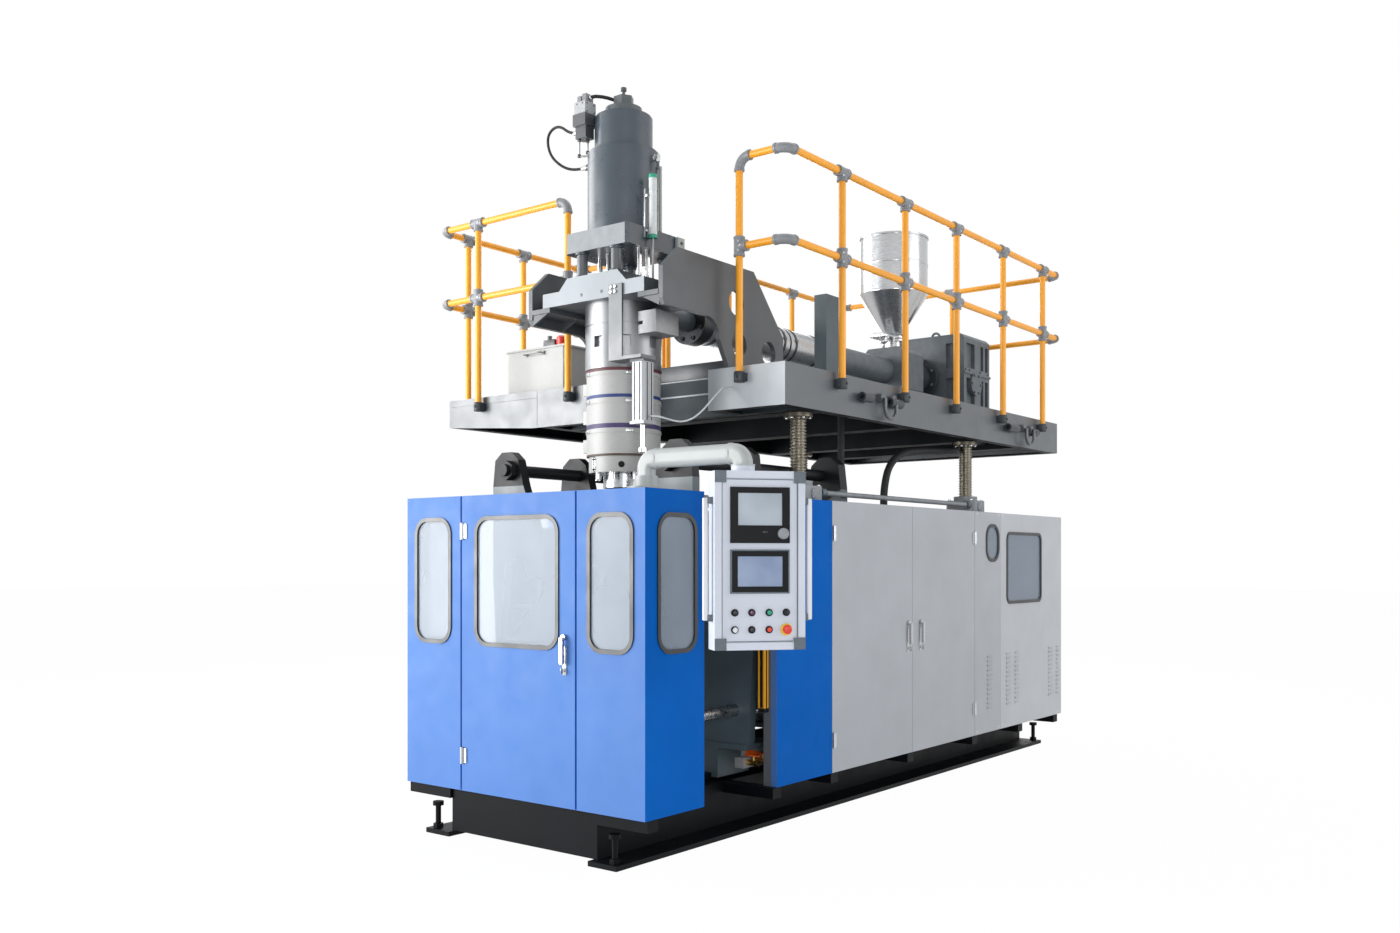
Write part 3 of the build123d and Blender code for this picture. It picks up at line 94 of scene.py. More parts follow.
def surface(name, tones, patch, rough, cloud, veil=None, grain=None, cover=None, metal=0.0, glare=0.5):
    """A material: patches of two tones, a veil of a third, cloudy gloss, fine grain, and its cover if clear.

    A pattern is its blotch size in metres, its noise detail and, where it is drawn out, its stretch.
    """
    material = bpy.data.materials.new(name)
    material.use_nodes = True
    tree = material.node_tree
    shader = tree.nodes["Principled BSDF"]
    place = add(tree, "TexCoord").outputs["Object"]
    factor = blotches(tree, place, 0, 1, *patch)
    tone = add(tree, "Mix", {0: factor, 6: tones[0], 7: tones[1]}, data_type="RGBA").outputs[2]
    if veil:
        third, share, *pattern = veil
        factor = blotches(tree, place, 0, share, *pattern)
        tone = add(tree, "Mix", {0: factor, 6: tone, 7: third}, data_type="RGBA").outputs[2]
    tree.links.new(tone, shader.inputs["Base Color"])
    tree.links.new(blotches(tree, place, *rough, *cloud), shader.inputs["Roughness"])
    if cover:
        tree.links.new(blotches(tree, place, *cover, *patch), shader.inputs["Alpha"])
    if grain:
        depth, strength, *pattern = grain
        height = blotches(tree, place, 0, 1, *pattern, start=0, end=1)
        bump = add(tree, "Bump", {"Height": height, "Distance": depth, "Strength": strength})
        tree.links.new(bump.outputs["Normal"], shader.inputs["Normal"])
    shader.inputs["Metallic"].default_value = metal
    shader.inputs["Specular IOR Level"].default_value = glare
    return material


def paint(name, code, rough=0.42, patch=0.03, glare=0.5):
    """Sprayed enamel: slight orange peel, faint patches, handling marks in the gloss, a few dust specks."""
    return surface(
        name, shades(code, 1 - patch * 2, 1 + patch), (0.35, 4), (rough - 0.06, rough + 0.08), (0.12, 5),
        veil=(shade(code, 0.72), 0.08, 9 * MM, 5, EVEN, 0.66, 0.74), grain=(0.15 * MM, 0.4, 3 * MM, 2),
        glare=glare,
    )


def casting(name, code, rough):
    """Cast metal under thick paint: sandy skin and slow hollows."""
    return surface(
        name, shades(code, 0.8, 1.08), (0.06, 5), (rough - 0.1, rough + 0.1), (0.03, 4),
        grain=(0.2 * MM, 0.35, 4 * MM, 4),
    )


def brushed(name, code, rough, lines=(1, 1, 30), metal=1.0):
    """Brushed or rolled metal: lines along the sheet, drawn coarse so that they show, and a cloudy gloss."""
    streaks = (30 * MM, 4, lines)
    return surface(
        name, shades(code, 0.82, 1.06), streaks, (rough - 0.08, rough + 0.1), streaks,
        veil=(shade(code, 0.78), 0.35, 0.15, 4), grain=(0.1 * MM, 0.25, *streaks), metal=metal,
    )


def ground(name, code, rough):
    """Machined steel: fine tool marks, a light oil film."""
    return surface(
        name, shades(code, 0.78, 1.05), (40 * MM, 5), (rough - 0.08, rough + 0.12), (15 * MM, 4),
        grain=(0.05 * MM, 0.3, 1.2 * MM, 2, (1, 1, 8)), metal=1.0,
    )


def plastic(name, code, rough, glare=0.5):
    """Moulded plastic with an eroded grain."""
    return surface(
        name, shades(code, 0.9, 1.06), (25 * MM, 4), (rough - 0.05, rough + 0.08), (6 * MM, 4),
        grain=(0.05 * MM, 0.3, 0.8 * MM, 2), glare=glare,
    )


def rubber(name, code):
    """Extruded rubber: matt, with a bloom and fine lines."""
    bloom = (20 * MM, 5)
    lines = (0.1 * MM, 0.4, 1.5 * MM, 3)
    return surface(name, shades(code, 0.75, 1.35), bloom, (0.62, 0.82), bloom, grain=lines)


def hazy_sheet(name, code, cover):
    """Clear sheet gone hazy: wiping marks in the haze, a soft gloss."""
    return surface(
        name, shades(code, 0.96, 1.03), (0.3, 2, (1, 1, 0.6)), (0.2, 0.26), (0.25, 2),
        cover=(cover - 0.02, cover + 0.02), glare=0.35,
    )


def screen(name, code, dark):
    """An unlit display: a smooth pane with a slow change of tone behind it."""
    return surface(name, (colour(dark), colour(code)), (0.16, 2), (0.36, 0.42), (60 * MM, 3), glare=0.2)


# The guards' blue comes as lit and shaded copies of one paint: the paler copy below carries painted sheen,
# and the darker copy after it is painted shade for the right side faces.
GUARD_BLUE_PAINTED_SHEEN = paint("guard_blue", "#4672B4", 0.56, glare=0.3)
SIDE_BLUE_PAINTED_SHADE = paint("side_blue_painted_shade", "#005AAF", 0.5, glare=0.05)
# Dark blue for the shadow strips beside the front door: painted shadow.
GAP_BLUE_PAINTED_SHADOW = paint("gap_blue_painted_shadow", "#06357E", 0.6, glare=0.02)
CABINET_GREY = paint("cabinet_grey", "#A8ABAF", 0.45, glare=0.3)
CABINET_PALE = paint("cabinet_pale", "#B6B8BB", 0.45, glare=0.3)
FRAME_GREY = paint("frame_grey", "#5E6166", 0.45, patch=0.05)
PLATFORM_GREY = paint("platform_grey", "#4A5055", 0.34, patch=0.06, glare=0.8)
# A lit copy of the platform's grey, for front faces: painted light.
FRONT_GREY_PAINTED_LIGHT = paint("front_grey_painted_light", "#939A9F", 0.38, patch=0.08)
# A pale copy of the platform's grey: painted light on the deck's front.
DECK_PALE_PAINTED_LIGHT = paint("deck_pale_painted_light", "#B3B9BD", 0.38, patch=0.08)
GOOSE_GREY = paint("goose_grey", "#4A4E51", 0.4, patch=0.05)
# Darker grey for the notch round the head: painted shade.
NOTCH_PAINTED_SHADE = paint("notch_painted_shade", "#343D42", 0.5, patch=0.08, glare=0.15)
# Near black for the frame under the deck and walkway: painted shade.
UNDER_PAINTED_SHADE = paint("under_painted_shade", "#14181B", 0.6, patch=0.1, glare=0.1)
JACK_GREY = casting("jack_grey", "#85898D", 0.5)
CYLINDER_GREY = paint("cylinder_grey", "#36414B", 0.3, patch=0.04, glare=0.8)
GEARBOX_GREY = casting("gearbox_grey", "#5E666C", 0.5)
BASE_BLACK = paint("base_black", "#0A0C10", 0.45, patch=0.1, glare=0.1)
CLAMP_BLACK = paint("clamp_black", "#4A585F", 0.4, patch=0.08)
EAR_BLACK = paint("ear_black", "#1B1C1F", 0.45, patch=0.08, glare=0.2)
RAIL_ORANGE = paint("rail_orange", "#F4A425", 0.36, patch=0.04)
CURTAIN_YELLOW = paint("curtain_yellow", "#E8A21C", 0.4)
FITTING_GREY = paint("fitting_grey", "#828487", 0.42, patch=0.06)
SOCKET_GREY = paint("socket_grey", "#2E3439", 0.45, patch=0.06)
SEAL_RUBBER = paint("seal_rubber", "#1E2023", 0.34, patch=0.08, glare=0.5)
CLEAR_SHEET = hazy_sheet("clear_sheet", "#9AA6B3", 0.5)
LEVER_ZINC = brushed("lever_zinc", "#C2C4C6", 0.32)
SCREW_ZINC = ground("screw_zinc", "#C9CBCC", 0.3)
CHROME = ground("chrome", "#DDDFE1", 0.12)
GROUND_STEEL = ground("ground_steel", "#B4B7B9", 0.24)
SCREW_STEEL = ground("screw_steel", "#716C61", 0.38)
HEAD_STEEL = brushed("head_steel", "#8B8D90", 0.38)
COLLAR_STEEL = brushed("collar_steel", "#5F6467", 0.42, (1, 1, 12), 0.3)
FLANGE_DARK = brushed("flange_dark", "#4A4B4E", 0.42)
COVER_STEEL = brushed("cover_steel", "#AFAFAD", 0.5, (1, 1, 25), 0.1)
BARREL_STEEL = brushed("barrel_steel", "#BDBFC1", 0.28, (1, 25, 1))
HOPPER_STEEL = brushed("hopper_steel", "#BFC1C3", 0.22, (1, 1, 20))
BOX_STEEL = brushed("box_steel", "#9EA0A2", 0.42, (1, 12, 1), 0.3)
ARM_WHITE = paint("arm_white", "#A8ACAA", 0.38, glare=0.4)
PENDANT_WHITE = paint("pendant_white", "#CBD0DA", 0.4, glare=0.4)
GRIP_WHITE = paint("grip_white", "#DFE0E2", 0.4, glare=0.4)
CAP_GREY = plastic("cap_grey", "#59626A", 0.45)
DISPLAY_BLACK = plastic("display_black", "#17181A", 0.4, glare=0.12)
SCREEN_GREY = screen("screen_grey", "#AEB7BF", "#9FA8B0")
SCREEN_BLUE = screen("screen_blue", "#98A6BE", "#8493AE")
BUTTON_BLACK = plastic("button_black", "#1C1D20", 0.35)
BUTTON_GREEN = plastic("button_green", "#1C9A78", 0.3)
BUTTON_RED = plastic("button_red", "#E2452C", 0.3)
STOP_RED = plastic("stop_red", "#DB3A2A", 0.28)
STOP_YELLOW = plastic("stop_yellow", "#EFC21E", 0.38)
LAMP_PURPLE = plastic("lamp_purple", "#5C2B4C", 0.2)
SWITCH_WHITE = plastic("switch_white", "#D9DADD", 0.4)
KNOB_GREY = plastic("knob_grey", "#8B8E93", 0.4)
VALVE_BLOCK = paint("valve_block", "#ABADAF", 0.45, patch=0.02, glare=0.3)
BIN_STEEL = brushed("bin_steel", "#ABACAA", 0.5, (1, 1, 20), 0.1)
SENSOR_WHITE = plastic("sensor_white", "#CFD2D2", 0.35)
VALVE_BLACK = paint("valve_black", "#46494C", 0.4, glare=0.7)
VALVE_ORANGE = plastic("valve_orange", "#E3601E", 0.4)
BRASS = ground("brass", "#C8A45A", 0.3)
HOSE_BLACK = rubber("hose_black", "#16181A")
TUBE_CLEAR = plastic("tube_clear", "#C9CDD0", 0.3)
RING_VIOLET = plastic("ring_violet", "#35275A", 0.5)
RING_BLUE = plastic("ring_blue", "#15306E", 0.5)
RING_PURPLE = plastic("ring_purple", "#57252F", 0.5)
RING_BROWN = plastic("ring_brown", "#4A3527", 0.5)
TERMINAL_GREEN = plastic("terminal_green", "#2E9A7C", 0.4)


# Shapes: every size below is in millimetres, and a piece is scaled to metres when it is built.

def soften(work, edge, segments=2):
    """Rounds all the edges of a shape."""
    bmesh.ops.bevel(
        work, geom=work.edges[:], offset=edge, segments=segments, profile=0.5, affect="EDGES", material=-1
    )


def block(low, high, edge=2.0):
    """Box between two corners, with rounded edges."""
    work = bmesh.new()
    low, high = Vector(low), Vector(high)
    bmesh.ops.create_cube(work, size=1, matrix=Matrix.LocRotScale((low + high) / 2, None, high - low))
    if edge:
        soften(work, edge)
    return work


def moved(shape, matrix):
    """The shape, carried by a matrix."""
    bmesh.ops.transform(shape, matrix=matrix, verts=shape.verts)
    return shape


def upright(axis):
    """Turn that stands a shape along an axis."""
    return Vector(axis).to_track_quat("Z", "X").to_matrix().to_4x4()


def facing(across, up, out):
    """Turn that lays a shape drawn flat onto a face with these directions."""
    return Matrix((across, up, out)).transposed().to_4x4()


def heading(angle):
    """Level direction at an angle in degrees."""
    return Vector((math.cos(math.radians(angle)), math.sin(math.radians(angle)), 0))


def turned(profile, centre, axis=Z_AXIS, steps=40):
    """Turned shape from (radius, height) points, along an axis from a centre."""
    work = bmesh.new()
    points = [work.verts.new((radius, 0, height)) for radius, height in profile]
    edges = [work.edges.new(pair) for pair in zip(points, points[1:])]
    bmesh.ops.spin(
        work, geom=points + edges, axis=Z_AXIS, cent=(0, 0, 0), angle=2 * math.pi, steps=steps,
        use_merge=True,
    )
    bmesh.ops.remove_doubles(work, verts=work.verts, dist=0.001)
    bmesh.ops.recalc_face_normals(work, faces=work.faces)
    return moved(work, Matrix.Translation(centre) @ upright(axis))


def rod(start, end, radius, edge=1.0, steps=24):
    """Round bar between two points, with softened ends."""
    along = Vector(end) - Vector(start)
    length = along.length
    foot = [(0, 0), (radius - edge, 0), (radius, edge)]
    head = [(r, length - height) for r, height in reversed(foot)]
    return turned(foot + head, start, along, steps)


def hexagon(start, axis, radius, height, edge=1.0):
    """Hexagon head or nut on a face."""
    work = bmesh.new()
    bmesh.ops.create_cone(work, cap_ends=True, segments=6, radius1=radius, radius2=radius, depth=height)
    soften(work, edge)
    return moved(work, Matrix.Translation(start) @ upright(axis) @ Matrix.Translation((0, 0, height / 2)))


def cap_screw(start, axis, radius, height):
    """Socket head screw standing on a face."""
    socket = radius * 0.5
    profile = [
        (0, height * 0.4), (socket, height * 0.4), (socket, height), (radius * 0.9, height),
        (radius, height * 0.9), (radius, 0), (0, 0),
    ]
    return turned(profile, start, axis, 16)


def pan_screw(start, axis, radius):
    """Low domed screw head."""
    profile = [(0, radius * 0.55), (radius * 0.6, radius * 0.45), (radius, radius * 0.1), (radius, 0)]
    return turned(profile, start, axis, 12)


def gather(work, shape, material=0):
    """Adds a shape to a piece, in one of the piece's materials."""
    for face in shape.faces:
        face.material_index = material
    scratch = bpy.data.meshes.new("scratch")
    shape.to_mesh(scratch)
    shape.free()
    work.from_mesh(scratch)
    bpy.data.meshes.remove(scratch)


def build(name, shapes, body, materials, stands_for=()):
    """One piece from (shape, material number) pairs, riding a body."""
    work = bmesh.new()
    for shape, material in shapes:
        gather(work, shape, material)
    bmesh.ops.scale(work, vec=(MM, MM, MM), verts=work.verts)
    mesh = bpy.data.meshes.new(name)
    work.to_mesh(mesh)
    work.free()
    for material in materials:
        mesh.materials.append(material)
    mesh.shade_smooth()
    mesh.set_sharp_from_angle(angle=math.radians(35))
    piece = bpy.data.objects.new(name, mesh)
    scene.collection.objects.link(piece)
    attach(piece, body)
    if stands_for:
        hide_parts(*stands_for)


# Finishes of the solids

def coat(material, *names):
    """One finish over whole solids."""
    for name in names:
        mesh = nodes[name].data
        mesh.materials.clear()
        mesh.materials.append(material)


def touch_up(name, material, low, high):
    """Another finish on the faces whose middle is inside a box."""
    mesh = nodes[name].data
    if mesh.materials.find(material.name) < 0:
        mesh.materials.append(material)
    number = mesh.materials.find(material.name)
    low, high = Vector(low) * MM, Vector(high) * MM
    for face in mesh.polygons:
        if all(low[i] <= face.center[i] <= high[i] for i in range(3)):
            face.material_index = number


coat(BASE_BLACK, "base_frame")
coat(GUARD_BLUE_PAINTED_SHEEN, "front_guards", "guard_side_panels", "front_door")
coat(CABINET_GREY, "cabinet_panels", "cabinet_door_front", "cabinet_door_rear", "cabinet_equipment")
coat(SEAL_RUBBER, "window_seals", "front_door_seal")
coat(CLEAR_SHEET, "window_panes", "front_door_pane")
coat(FRAME_GREY, "enclosure_frame")
coat(CURTAIN_YELLOW, "light_curtains")
coat(JACK_GREY, "lift_jacks")
coat(ARM_WHITE, "pendant_base", "pendant_arm")
coat(LEVER_ZINC, "front_door_handle", "cabinet_handle_front", "cabinet_handle_rear")
coat(CLAMP_BLACK, "front_platen", "tail_plate", "rear_platen")
coat(GROUND_STEEL, "tie_bars")
coat(BOX_STEEL, "water_manifold", "head_fittings")
coat(PLATFORM_GREY, "platform_frame", "head_saddle")
coat(GOOSE_GREY, "gooseneck_plates")
coat(SCREW_STEEL, "lift_screws")
coat(RAIL_ORANGE, "handrail_tubes")
coat(FITTING_GREY, "handrail_fittings")
coat(CYLINDER_GREY, "ram_cylinder")
coat(VALVE_BLACK, "servo_valve")
coat(HEAD_STEEL, "head_barrel")
coat(COVER_STEEL, "heater_covers")
coat(GEARBOX_GREY, "extruder_barrel", "gearbox", "drive_motor")
coat(BARREL_STEEL, "barrel_covers")
coat(HOPPER_STEEL, "hopper", "hopper_gate")
coat(BIN_STEEL, "tool_bin")
coat(CHROME, "ram_rod", "knife_rod", "die_core")
coat(PENDANT_WHITE, "pendant_box")
coat(DISPLAY_BLACK, "pendant_displays")
coat(KNOB_GREY, "control_knob")
coat(BUTTON_BLACK, "button_black_upper", "button_black_lower", "key_switch")
coat(BUTTON_GREEN, "button_green")
coat(BUTTON_RED, "button_red")
coat(STOP_RED, "emergency_stop")
coat(SWITCH_WHITE, "selector_switch")
coat(HOSE_BLACK, "servo_hose", "conduit_hose", "cable_hose")
coat(TUBE_CLEAR, "air_tube")

EVERYWHERE = 9000
for clamp_part in ("front_platen", "rear_platen", "tail_plate", "tie_bars"):
    touch_up(clamp_part, EAR_BLACK, (-EVERYWHERE, -EVERYWHERE, 1860), (EVERYWHERE, EVERYWHERE, 2300))
# Painted shade on the frame under the deck and under the walkway.
touch_up("platform_frame", UNDER_PAINTED_SHADE, (-1036, -1428.5, 2379), (883.5, 2495, 2612.5))
touch_up("platform_frame", UNDER_PAINTED_SHADE, (-1900, -1428.5, 2379), (-1036, -200, 2612.5))
# Painted shade on the back and side faces of the notch round the head.
touch_up("platform_frame", NOTCH_PAINTED_SHADE, (-1000, -1200.5, 2380), (900, -1199.5, 2613))
touch_up("platform_frame", NOTCH_PAINTED_SHADE, (-358.5, -1440, 2380), (-357.5, -1190, 2613))
# Painted light: the deck's front face on the right takes a pale copy of the grey.
touch_up("platform_frame", DECK_PALE_PAINTED_LIGHT, (350, -1440.5, 2380), (900, -1439.5, 2620))
touch_up("platform_frame", CLAMP_BLACK, (434, -418, 2621), (526, -262, 3221))
# Painted light: the saddle's front face takes the lit copy of the grey.
touch_up("head_saddle", FRONT_GREY_PAINTED_LIGHT, (-400, -2044.5, 2800), (400, -2043.5, 3200))
touch_up("ram_cylinder", JACK_GREY, (-250, -2014.5, 3240), (250, -2013.5, 3379.9))
touch_up("servo_valve", VALVE_BLOCK, (-300, -2100, 4077), (-100, -1800, 4145.9))
touch_up("servo_valve", FITTING_GREY, (-300, -2100, 4146.1), (-100, -1800, 4300))
touch_up("ram_cylinder", COLLAR_STEEL, (-70, -1850, 4118.5), (70, -1700, 4185.05))
touch_up("ram_cylinder", COLLAR_STEEL, (-110, -1900, 4066.5), (110, -1650, 4118.4))
touch_up("ram_cylinder", VALVE_BLACK, (-20, -1800, 4185.1), (20, -1750, 4250))
touch_up("head_barrel", COVER_STEEL, (-210, -2100, 2013.1), (210, -1500, 2103.9))
touch_up("head_barrel", GROUND_STEEL, (-210, -2100, 1900), (210, -1500, 2013.1))
touch_up("head_fittings", SENSOR_WHITE, (246, -1862, 3336.1), (300, -1808, 3651.9))
for sensor_end in (3315.9, 3651.9):
    touch_up("head_fittings", TERMINAL_GREEN, (246, -1862, sensor_end), (300, -1808, sensor_end + 20.2))
touch_up("extruder_barrel", FLANGE_DARK, (-180, -1200, 2800), (180, -1085, 3160))
touch_up("extruder_barrel", SOCKET_GREY, (-180, 1592, 2800), (180, 1899, 3160))
touch_up("head_fittings", FLANGE_DARK, (270, -2031, 2598.1), (372, -1929, 2614.1))
# Painted shade: the guards' right side faces take the darker copy of their blue.
for guard in ("front_guards", "guard_side_panels"):
    touch_up(guard, SIDE_BLUE_PAINTED_SHADE, (884.9, -EVERYWHERE, 0), (885.1, EVERYWHERE, 2300))
touch_up("cabinet_panels", CABINET_PALE, (884.5, 1430, 0), (900, 2700, 2300))


# Pendant

PANEL_OUT = Vector((0.774, -0.633, 0)).normalized()
PANEL_ALONG = Vector((-PANEL_OUT.y, PANEL_OUT.x, 0))
PANEL_LOW = 1095
PANEL_WIDTH = 440
PANEL_HEIGHT = 838
PANEL_CORNER = Vector((1330, -2332, PANEL_LOW)) + PANEL_OUT * 65 - PANEL_ALONG * (PANEL_WIDTH / 2)
PANEL_FACE = Matrix.Translation(PANEL_CORNER) @ facing(PANEL_ALONG, Z_AXIS, PANEL_OUT)
CORNER_CAP = 56
COLUMNS = (98, 180, 264, 348)
UPPER_ROW = 175
LOWER_ROW = 95
UPPER_SCREEN = (110, 329, 580, 737)
LOWER_SCREEN = (108, 331, 294, 441)
LOWER_BEZEL = (76, 363, 264, 470)


def on_pendant(shape):
    """Moves a shape that was drawn flat, along and up, onto the face of the pendant."""
    return moved(shape, PANEL_FACE)


def pendant_face_box(u0, u1, v0, v1, w0, w1):
    """Low and high corners, in millimetres, of the box round a patch of the pendant's face."""
    corners = [PANEL_FACE @ Vector((u, v, w)) for u in (u0, u1) for v in (v0, v1) for w in (w0, w1)]
    return [min(c[i] for c in corners) for i in range(3)], [max(c[i] for c in corners) for i in range(3)]


def strips(u0, u1, v0, v1, width):
    """Corners of the four strips of a frame, inside a rectangle."""
    return (
        ((u0, v0), (u1, v0 + width)), ((u0, v1 - width), (u1, v1)),
        ((u0, v0), (u0 + width, v1)), ((u1 - width, v0), (u1, v1)),
    )


def display_glass():
    """Screen panes sunk in the two bezels, with a thin frame round each."""
    shapes = []
    for number, (u0, u1, v0, v1) in enumerate((UPPER_SCREEN, LOWER_SCREEN)):
        shapes.append((on_pendant(block((u0 + 1, v0 + 1, 6), (u1 - 1, v1 - 1, 8), 0.6)), number))
        for low, high in strips(u0, u1, v0, v1, 3):
            shapes.append((on_pendant(block((*low, 7), (*high, 9.6), 0.5)), 2))
    build("display_glass", shapes, "pendant", [SCREEN_GREY, SCREEN_BLUE, DISPLAY_BLACK])


def display_trim():
    """Grey trim round the lower display, and the key strip under the upper one."""
    shapes = [(on_pendant(block((232, 548, 9), (256, 556, 10), 0.4)), 1)]
    for low, high in strips(*LOWER_BEZEL, 7):
        shapes.append((on_pendant(block((*low, 0), (*high, 10.5), 1.5)), 0))
    build("display_trim", shapes, "pendant", [CAP_GREY, BUTTON_BLACK])


def control_rings():
    """Bezel rings, a lamp lens and the yellow collar of the stop button."""
    ring = [(16, 0), (17.5, 0.5), (17.5, 7), (16, 9.8), (13.2, 9.8), (12.6, 8)]
    lens = [(12.4, 9), (12.4, 14), (10, 17), (5, 18.4), (0, 18.8)]
    collar = [(27.5, 0), (28.5, 1), (28.5, 5), (25, 7), (15, 9), (13, 9.6)]
    places = [(u, v) for v in (UPPER_ROW, LOWER_ROW) for u in COLUMNS[:3]] + [(COLUMNS[3], UPPER_ROW)]
    shapes = [(on_pendant(turned(ring, (*place, 0), steps=32)), 0) for place in places]
    shapes.append((on_pendant(turned(lens, (COLUMNS[1], UPPER_ROW, 0), steps=32)), 1))
    shapes.append((on_pendant(turned(collar, (COLUMNS[3], LOWER_ROW, 0), steps=40)), 2))
    build("control_rings", shapes, "pendant", [DISPLAY_BLACK, LAMP_PURPLE, STOP_YELLOW])


def button_caps():
    """Crowned caps of the buttons, the stop button's head and the knob's dial, each on its own body."""
    caps = {
        "button_black_upper": (COLUMNS[0], UPPER_ROW, BUTTON_BLACK, "button_black"),
        "button_green": (COLUMNS[2], UPPER_ROW, BUTTON_GREEN, "button_green"),
        "button_black_lower": (COLUMNS[1], LOWER_ROW, BUTTON_BLACK, "button_black"),
        "button_red": (COLUMNS[2], LOWER_ROW, BUTTON_RED, "button_red"),
    }
    profile = [(0, 14.2), (5, 14), (9, 13.4), (10.6, 12.4), (11, 11), (11, 5), (0, 5)]
    for name, (u, v, material, slot) in caps.items():
        cap = on_pendant(turned(profile, (u, v, 0), steps=32))
        build(name + "_cap", [(cap, 0)], name, [material], [name])
    mushroom = [
        (0, 34.5), (9, 33.8), (17, 31.5), (21.5, 28), (22.3, 25), (22, 19), (20, 17), (13, 17), (13, 28),
        (0, 28),
    ]
    head = on_pendant(turned(mushroom, (COLUMNS[3], LOWER_ROW, 0), steps=48))
    build("emergency_stop_head", [(head, 0)], "stop", [STOP_RED], ["emergency_stop"])
    dial = [(0, 23), (20, 23), (22, 24.5), (24.5, 24.5), (26.2, 22), (26.5, 12), (26.5, 9.4), (0, 9.4)]
    knob = on_pendant(turned(dial, (330, 545, 0), steps=48))
    grip = on_pendant(turned([(0, 25), (4, 24.7), (5, 23.6), (5, 22)], (345, 552, 0), steps=20))
    shapes = [(knob, 0), (grip, 0)]
    build("control_knob_dial", shapes, "knob", [KNOB_GREY], ["control_knob"])


def pendant_profiles():
    """Grooves of the edge profiles, and the square grips of the side handles with their end blocks."""
    shapes = []
    for u in (36, PANEL_WIDTH - 39):
        shapes.append((on_pendant(block((u, 40, 0), (u + 3, PANEL_HEIGHT - 40, 3.5), 0.8)), 1))
    for v in (38, PANEL_HEIGHT - 41):
        shapes.append((on_pendant(block((60, v, 0), (PANEL_WIDTH - 60, v + 3, 3.5), 0.8)), 1))
    for side, edge in ((-1, 0), (1, PANEL_WIDTH)):
        near, far = sorted((edge + side * 22, edge + side * 46))
        shapes.append((on_pendant(block((near, 138, -52), (far, 712, -28), 5)), 0))
        for v in (150, 700):
            low, high = sorted((edge - side * 2, edge + side * 26))
            shapes.append((on_pendant(block((low, v - 16, -56), (high, v + 16, -24), 3)), 1))
    build("pendant_profiles", shapes, "pendant", [GRIP_WHITE, CAP_GREY])


def arm_collars():
    """Socket collars where the arm's tube meets its elbows."""
    shapes = []
    start, end = Vector((690, -2380, 2023)), Vector((1280, -2370, 2023))
    along = (end - start).normalized()
    squeeze = Matrix.Diagonal((1.03, 0.8, 1, 1))
    for place, way in ((start + along * 58, along), (end - along * 58, -along)):
        collar = turned([(0, 0), (48, 0), (51, 3), (51, 20), (48, 23), (0, 23)], (0, 0, 0), steps=48)
        moved(collar, Matrix.Translation(place) @ facing(Z_AXIS, way.cross(Z_AXIS), way) @ squeeze)
        bmesh.ops.recalc_face_normals(collar, faces=collar.faces)
        shapes.append((collar, 0))
    build("arm_collars", shapes, "arm", [ARM_WHITE])


for corner_u in (0, PANEL_WIDTH - CORNER_CAP):
    for corner_v in (0, PANEL_HEIGHT - CORNER_CAP):
        cap_box = pendant_face_box(corner_u, corner_u + CORNER_CAP, corner_v, corner_v + CORNER_CAP, 7, 13)
        touch_up("pendant_displays", CAP_GREY, *cap_box)
display_glass()
display_trim()
control_rings()
button_caps()
pendant_profiles()
arm_collars()


# Guards and cabinet

GUARD_X = 885
FRONT_Y = -2620
REAR_Y = 2620


def panel_screws():
    """Rows of small screws along the top and bottom folds of the fixed panels."""
    rows = [((GUARD_X, y), X_AXIS) for y in (1040, 1400, 1490, 2020, 2540)]
    rows += [((-GUARD_X, y), -X_AXIS) for y in (-880, 40, 1000, 1420, 1480, 2020, 2540)]
    rows += [((x, REAR_Y), Y_AXIS) for x in (-840, -460, -40, 40, 460, 840)]
    shapes = [(pan_screw((*place, z), out, 7), 0) for place, out in rows for z in (1846, 284)]
    build("panel_screws", shapes, "frame", [SCREW_ZINC])


def lever_keys(name, body, spot, out, along):
    """Escutcheon behind a door lever, with its lock barrel and a key that hangs in it."""
    plate = block((-14, -70, 0), (14, 78, 4), 1.5)
    barrel = turned([(0, 12), (8, 12), (9, 11), (9, 0)], (0, -45, 4), steps=20)
    key = block((-1.2, -62, 14), (1.2, -34, 30), 0.6)
    place = Matrix.Translation(spot) @ facing(along, Z_AXIS, out)
    shapes = [(moved(shape, place), 0) for shape in (plate, barrel, key)]
    build(name, shapes, body, [LEVER_ZINC])


def curtain_lenses():
    """Dark lens strips, end caps and side lines of the two light curtains."""
    shapes = []
    for bar_y, lens_y in ((-2151, -2117), (-1551, -1551)):
        shapes.append((block((803, lens_y, 702), (821, lens_y + 6, 1698), 1), 0))
        shapes.append((block((834, bar_y + 12.5, 700), (835.5, bar_y + 22.5, 1700), 0.5), 0))
        for z in (676, 1700):
            shapes.append((block((789, bar_y, z), (835, bar_y + 40, z + 24), 3), 0))
    build("curtain_lenses", shapes, "frame", [DISPLAY_BLACK])


def door_gaps():
    """Shadow strips on the fixed guards along both edges of the front door."""
    shapes = []
    for side in (-1, 1):
        low, high = sorted((side * 427.2, side * 435))
        shapes.append((block((low, FRONT_Y - 0.6, 268), (high, FRONT_Y + 1, 1862), 0), 0))
    build("door_gaps", shapes, "frame", [GAP_BLUE_PAINTED_SHADOW])


